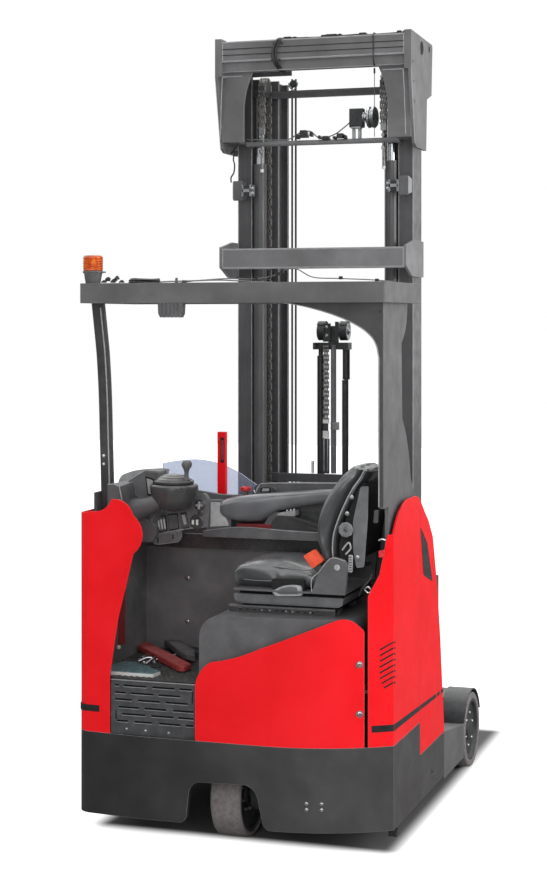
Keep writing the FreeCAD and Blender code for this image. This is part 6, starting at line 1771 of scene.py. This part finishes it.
def makeBackShell():
    # moulded shell behind the pad with pale beads along its edges (a painted highlight), its dark frame between pad and
    # shell (painted shade), the rear plate, the knob and the lever with dark slots beside it (painted shade)
    rear = smoothed(back["rear"], 26)
    rear = rear + np.array([(6, -2)])
    normal = np.gradient(rear, axis=0)
    normal = np.column_stack([normal[:, 1], -normal[:, 0]]) / np.linalg.norm(normal, axis=1)[:, None]
    wide = smoothed(np.array(back["wide"], float)[:, None], 26)[:, 0] + 4
    turn = np.linspace(-1, 1, 15)
    grids = []
    for depth in (0, 9):
        curl = 14 * np.abs(turn) ** 6
        x = rear[:, None, 0] + normal[:, None, 0] * (depth - curl[None])
        z = rear[:, None, 1] + normal[:, None, 1] * (depth - curl[None])
        grids.append(np.stack([x, back["middle"] + wide[:, None] * turn[None], z], -1))
    rings = np.concatenate([grids[0], grids[1][:, ::-1]], 1)
    parts = [(loft(rings), "gloss ABS")]
    for edge in (0, -1):
        parts.append((swept(circle(2.6, 8), grids[0][:, edge] + (0, -1 if edge == 0 else 1, 0), ahead), "light ABS and painted highlight"))
    core = rounded([(424, 1128), (418, 1190), (446, 1300), (494, 1410), (520, 1440), (522, 1380), (500, 1240),
                    (484, 1128)], 14, 5)
    parts.append((slab(core, 1, 150, 520), "gap black and painted shade"))
    plate = rounded([(478, 1289), (508, 1422), (540, 1426), (536, 1300), (522, 1112), (492, 1108), (478, 1180)],
                    [14, 8, 8, 20, 8, 8, 14], 5)
    parts.append((slab(plate, 1, 140, 148), "facia ABS"))
    parts.append((slab(plate, 1, 522, 530), "facia ABS"))
    parts += [(turned([(0, 24), (8, 30), (15, 30), (18, 26), (18, 13), (14, 11), (14, 2)], (452, 142, 1256), rearward,
                      9), "knob ABS"),
              (turned([(0, 6), (19, 6), (20, 4), (20, 1)], (452, 142, 1256), rearward, 12), "gloss ABS"),
              (turned([(0, 12), (10, 12), (10, 2)], (452, 150, 1256), rearward, 18), "moulded ABS"),
              (tube([(436, 135, 1176), (462, 133, 1206), (470, 133, 1184), (450, 133, 1160)], 3.4, 20, 8, ahead),
               "light ABS and painted highlight"),
              (moulding([(462, 1092), (478, 1092), (480, 1158), (464, 1160)], 4, 129, 135), "light ABS and painted highlight")]
    for n in range(6):
        parts.append((block((466, 128.6, 1098 + n * 10), (476, 130, 1102 + n * 10)), "gap black and painted shade"))
    for x, high in ((474, 1382), (455, 1318), (497, 1150)):
        parts.append((bolt((x, 138, high), rearward, 6, 4), "zinc plate"))
    piece("backrest_shell", parts, "backrest", bevel=1.0)


def makeSeatTrim():
    # side lever in its recess, the recess a dark slab (painted shade), bracket screw, a pale bead along the bracket (a
    # painted highlight), orange buckle on its stalk; all slide with the seat
    recess = rounded([(150, 1054), (284, 1058), (284, 1004), (150, 1004)], 14, 5)
    lever = rounded([(156, 1004), (190, 1026), (236, 1035), (276, 1032), (282, 994), (172, 988)],
                    [6, 20, 20, 8, 8, 10], 5)
    parts = [(slab(recess, 1, 124, 160), "gap black and painted shade"), (slab(lever, 1, 112, 126), "light ABS and painted highlight"),
             (slab(lever.mean(0) + (lever - lever.mean(0)) * 0.72, 1, 110.8, 113), "facia ABS"),
             (turned([(0, 12), (3, 12), (5, 9), (5, 4), (2, 3)], (424, 104, 1112), rearward, 20), "light ABS and painted highlight"),
             bead([(322, 103, 1012), (322, 103, 1062), (350, 103, 1090), (400, 103, 1146), (458, 103, 1138)], 1.8,
                  "light ABS and painted highlight", ahead, 30)]
    buckle = rounded([(286, 1150), (330, 1177), (368, 1134), (324, 1102)], 7, 5)
    middle = buckle.mean(0)
    parts += [(slab(buckle, 1, 106, 134), "signal plastic"),
              (slab(middle + (buckle - middle) * 0.55 + (4, -6), 1, 104.8, 107), "signal plastic"),
              (slab([(330, 1100), (352, 1118), (378, 1090), (360, 1070)], 1, 112, 128), "gloss ABS")]
    piece("seat_trim", parts, "seat", bevel=1.6)


suspension = {"folds": 2, "foldLow": 939, "foldStep": 6, "rails": (146, 492), "slots": 11, "slotPitch": 30}


def makeSuspension():
    # bare moulded slab under the pan, folded bellows below it and the slotted slide rails; the dark sheet between pan
    # and slab and the dark slots of the rails are painted shade
    slabOutline = rounded([(-8, 989), (442, 989), (438, 960), (425, 952), (12, 952), (-4, 962)],
                          [6, 6, 8, 8, 10, 10], 5)
    parts = [(slab(slabOutline, 1, 128, 542), "facia ABS"),
             (slab([(10, 984), (430, 984), (430, 1004), (10, 1004)], 1, 150, 520), "gap black and painted shade")]
    for n in range(suspension["folds"]):
        low = suspension["foldLow"] + n * suspension["foldStep"]
        fold = rounded([(26 + n * 3, low), (412 - n * 3, low), (418 - n * 3, low + 3.5), (412 - n * 3, low + 7),
                        (26 + n * 3, low + 7), (20 + n * 3, low + 3.5)], 1.5, 3)
        parts.append((slab(fold, 1, 150 + n * 2, 520 - n * 2), "gap black and painted shade"))
    for near in suspension["rails"]:
        parts.append((block((-34, near, 916), (404, near + 30, 940)), "gloss ABS"))
        parts.append((block((-34, near - 1.6, 934), (404, near + 31, 941)), "facia ABS"))
        for n in range(suspension["slots"]):
            x = 6 + n * suspension["slotPitch"]
            parts.append((block((x, near - 1, 921), (x + 16, near + 31, 929)), "gap black and painted shade"))
        for x in (100, 132, 200, 226, 300):
            parts.append((block((x, near - 2, 922), (x + 8, near, 927)), "zinc plate"))
    piece("suspension_slab", parts, "chassis", bevel=0.8, replaces=["seat_suspension"])


armrest = {"rings": [(-237, 1269, 22, 34), (-232, 1269, 34, 41), (-216, 1268, 45, 45), (-170, 1268, 56, 47),
                     (-100, 1272, 61, 47), (-50, 1277, 62, 47), (-8, 1291, 51, 46), (20, 1302, 42, 45),
                     (80, 1313, 36, 45), (180, 1328, 31, 45), (280, 1338, 29, 45), (380, 1342, 26, 43),
                     (396, 1343, 20, 36)], "middle": 618}


def makeArmrest():
    # long arm pad: deep nose, thin tail, blown up a little, with one seam along its side
    rings = [((x, armrest["middle"], high), ahead, wide - 4, upward, tall - 4)
             for x, high, tall, wide in armrest["rings"]]
    made = softPad("armrest_pad", boxy(rings, 48, 2.8), "arm vinyl", "chassis", None, 8)
    path = smoothed([(-190, 520, 1290), (-136, 520, 1302), (-31, 520, 1324), (125, 520, 1340), (273, 520, 1354),
                     (380, 520, 1358)], 40)
    path = onPad(made, path, ahead)
    piece("armrest_seam", [(swept(circle(1.8, 8), path, upward), "piping vinyl with painted highlight")], "chassis")


makeCushion()
makeBackrest()
makeBackShell()
makeSeatTrim()
makeSuspension()
makeArmrest()
print("seat made")


def makeCabHooks():
    # belt hooks and the red stop tab by the right cover's inner edge
    parts = [(moulding([(592, 1158), (614, 1160), (614, 1188), (592, 1184)], 3, 96, 104), "signal red"),
             (tube([(521, 150, 1025), (536, 148, 1036), (549, 150, 1022), (536, 152, 1012), (521, 150, 1025)], 4, 20, 8,
                   ahead), "zinc plate"),
             (tube([(578, 150, 1216), (592, 148, 1222), (606, 150, 1218)], 4, 10, 8, ahead), "zinc plate"),
             (tube([(500, 150, 1000), (515, 146, 1030), (540, 150, 1060), (552, 156, 1084)], 5, 16, 8, ahead),
              "cable jacket"),
             (moulding([(548, 1280), (566, 1280), (570, 1330), (552, 1330)], 4, 180, 196), "moulded ABS")]
    piece("cab_hooks", parts, "chassis", bevel=0.6)


makeCabHooks()
scene.view_settings.view_transform = "Standard"
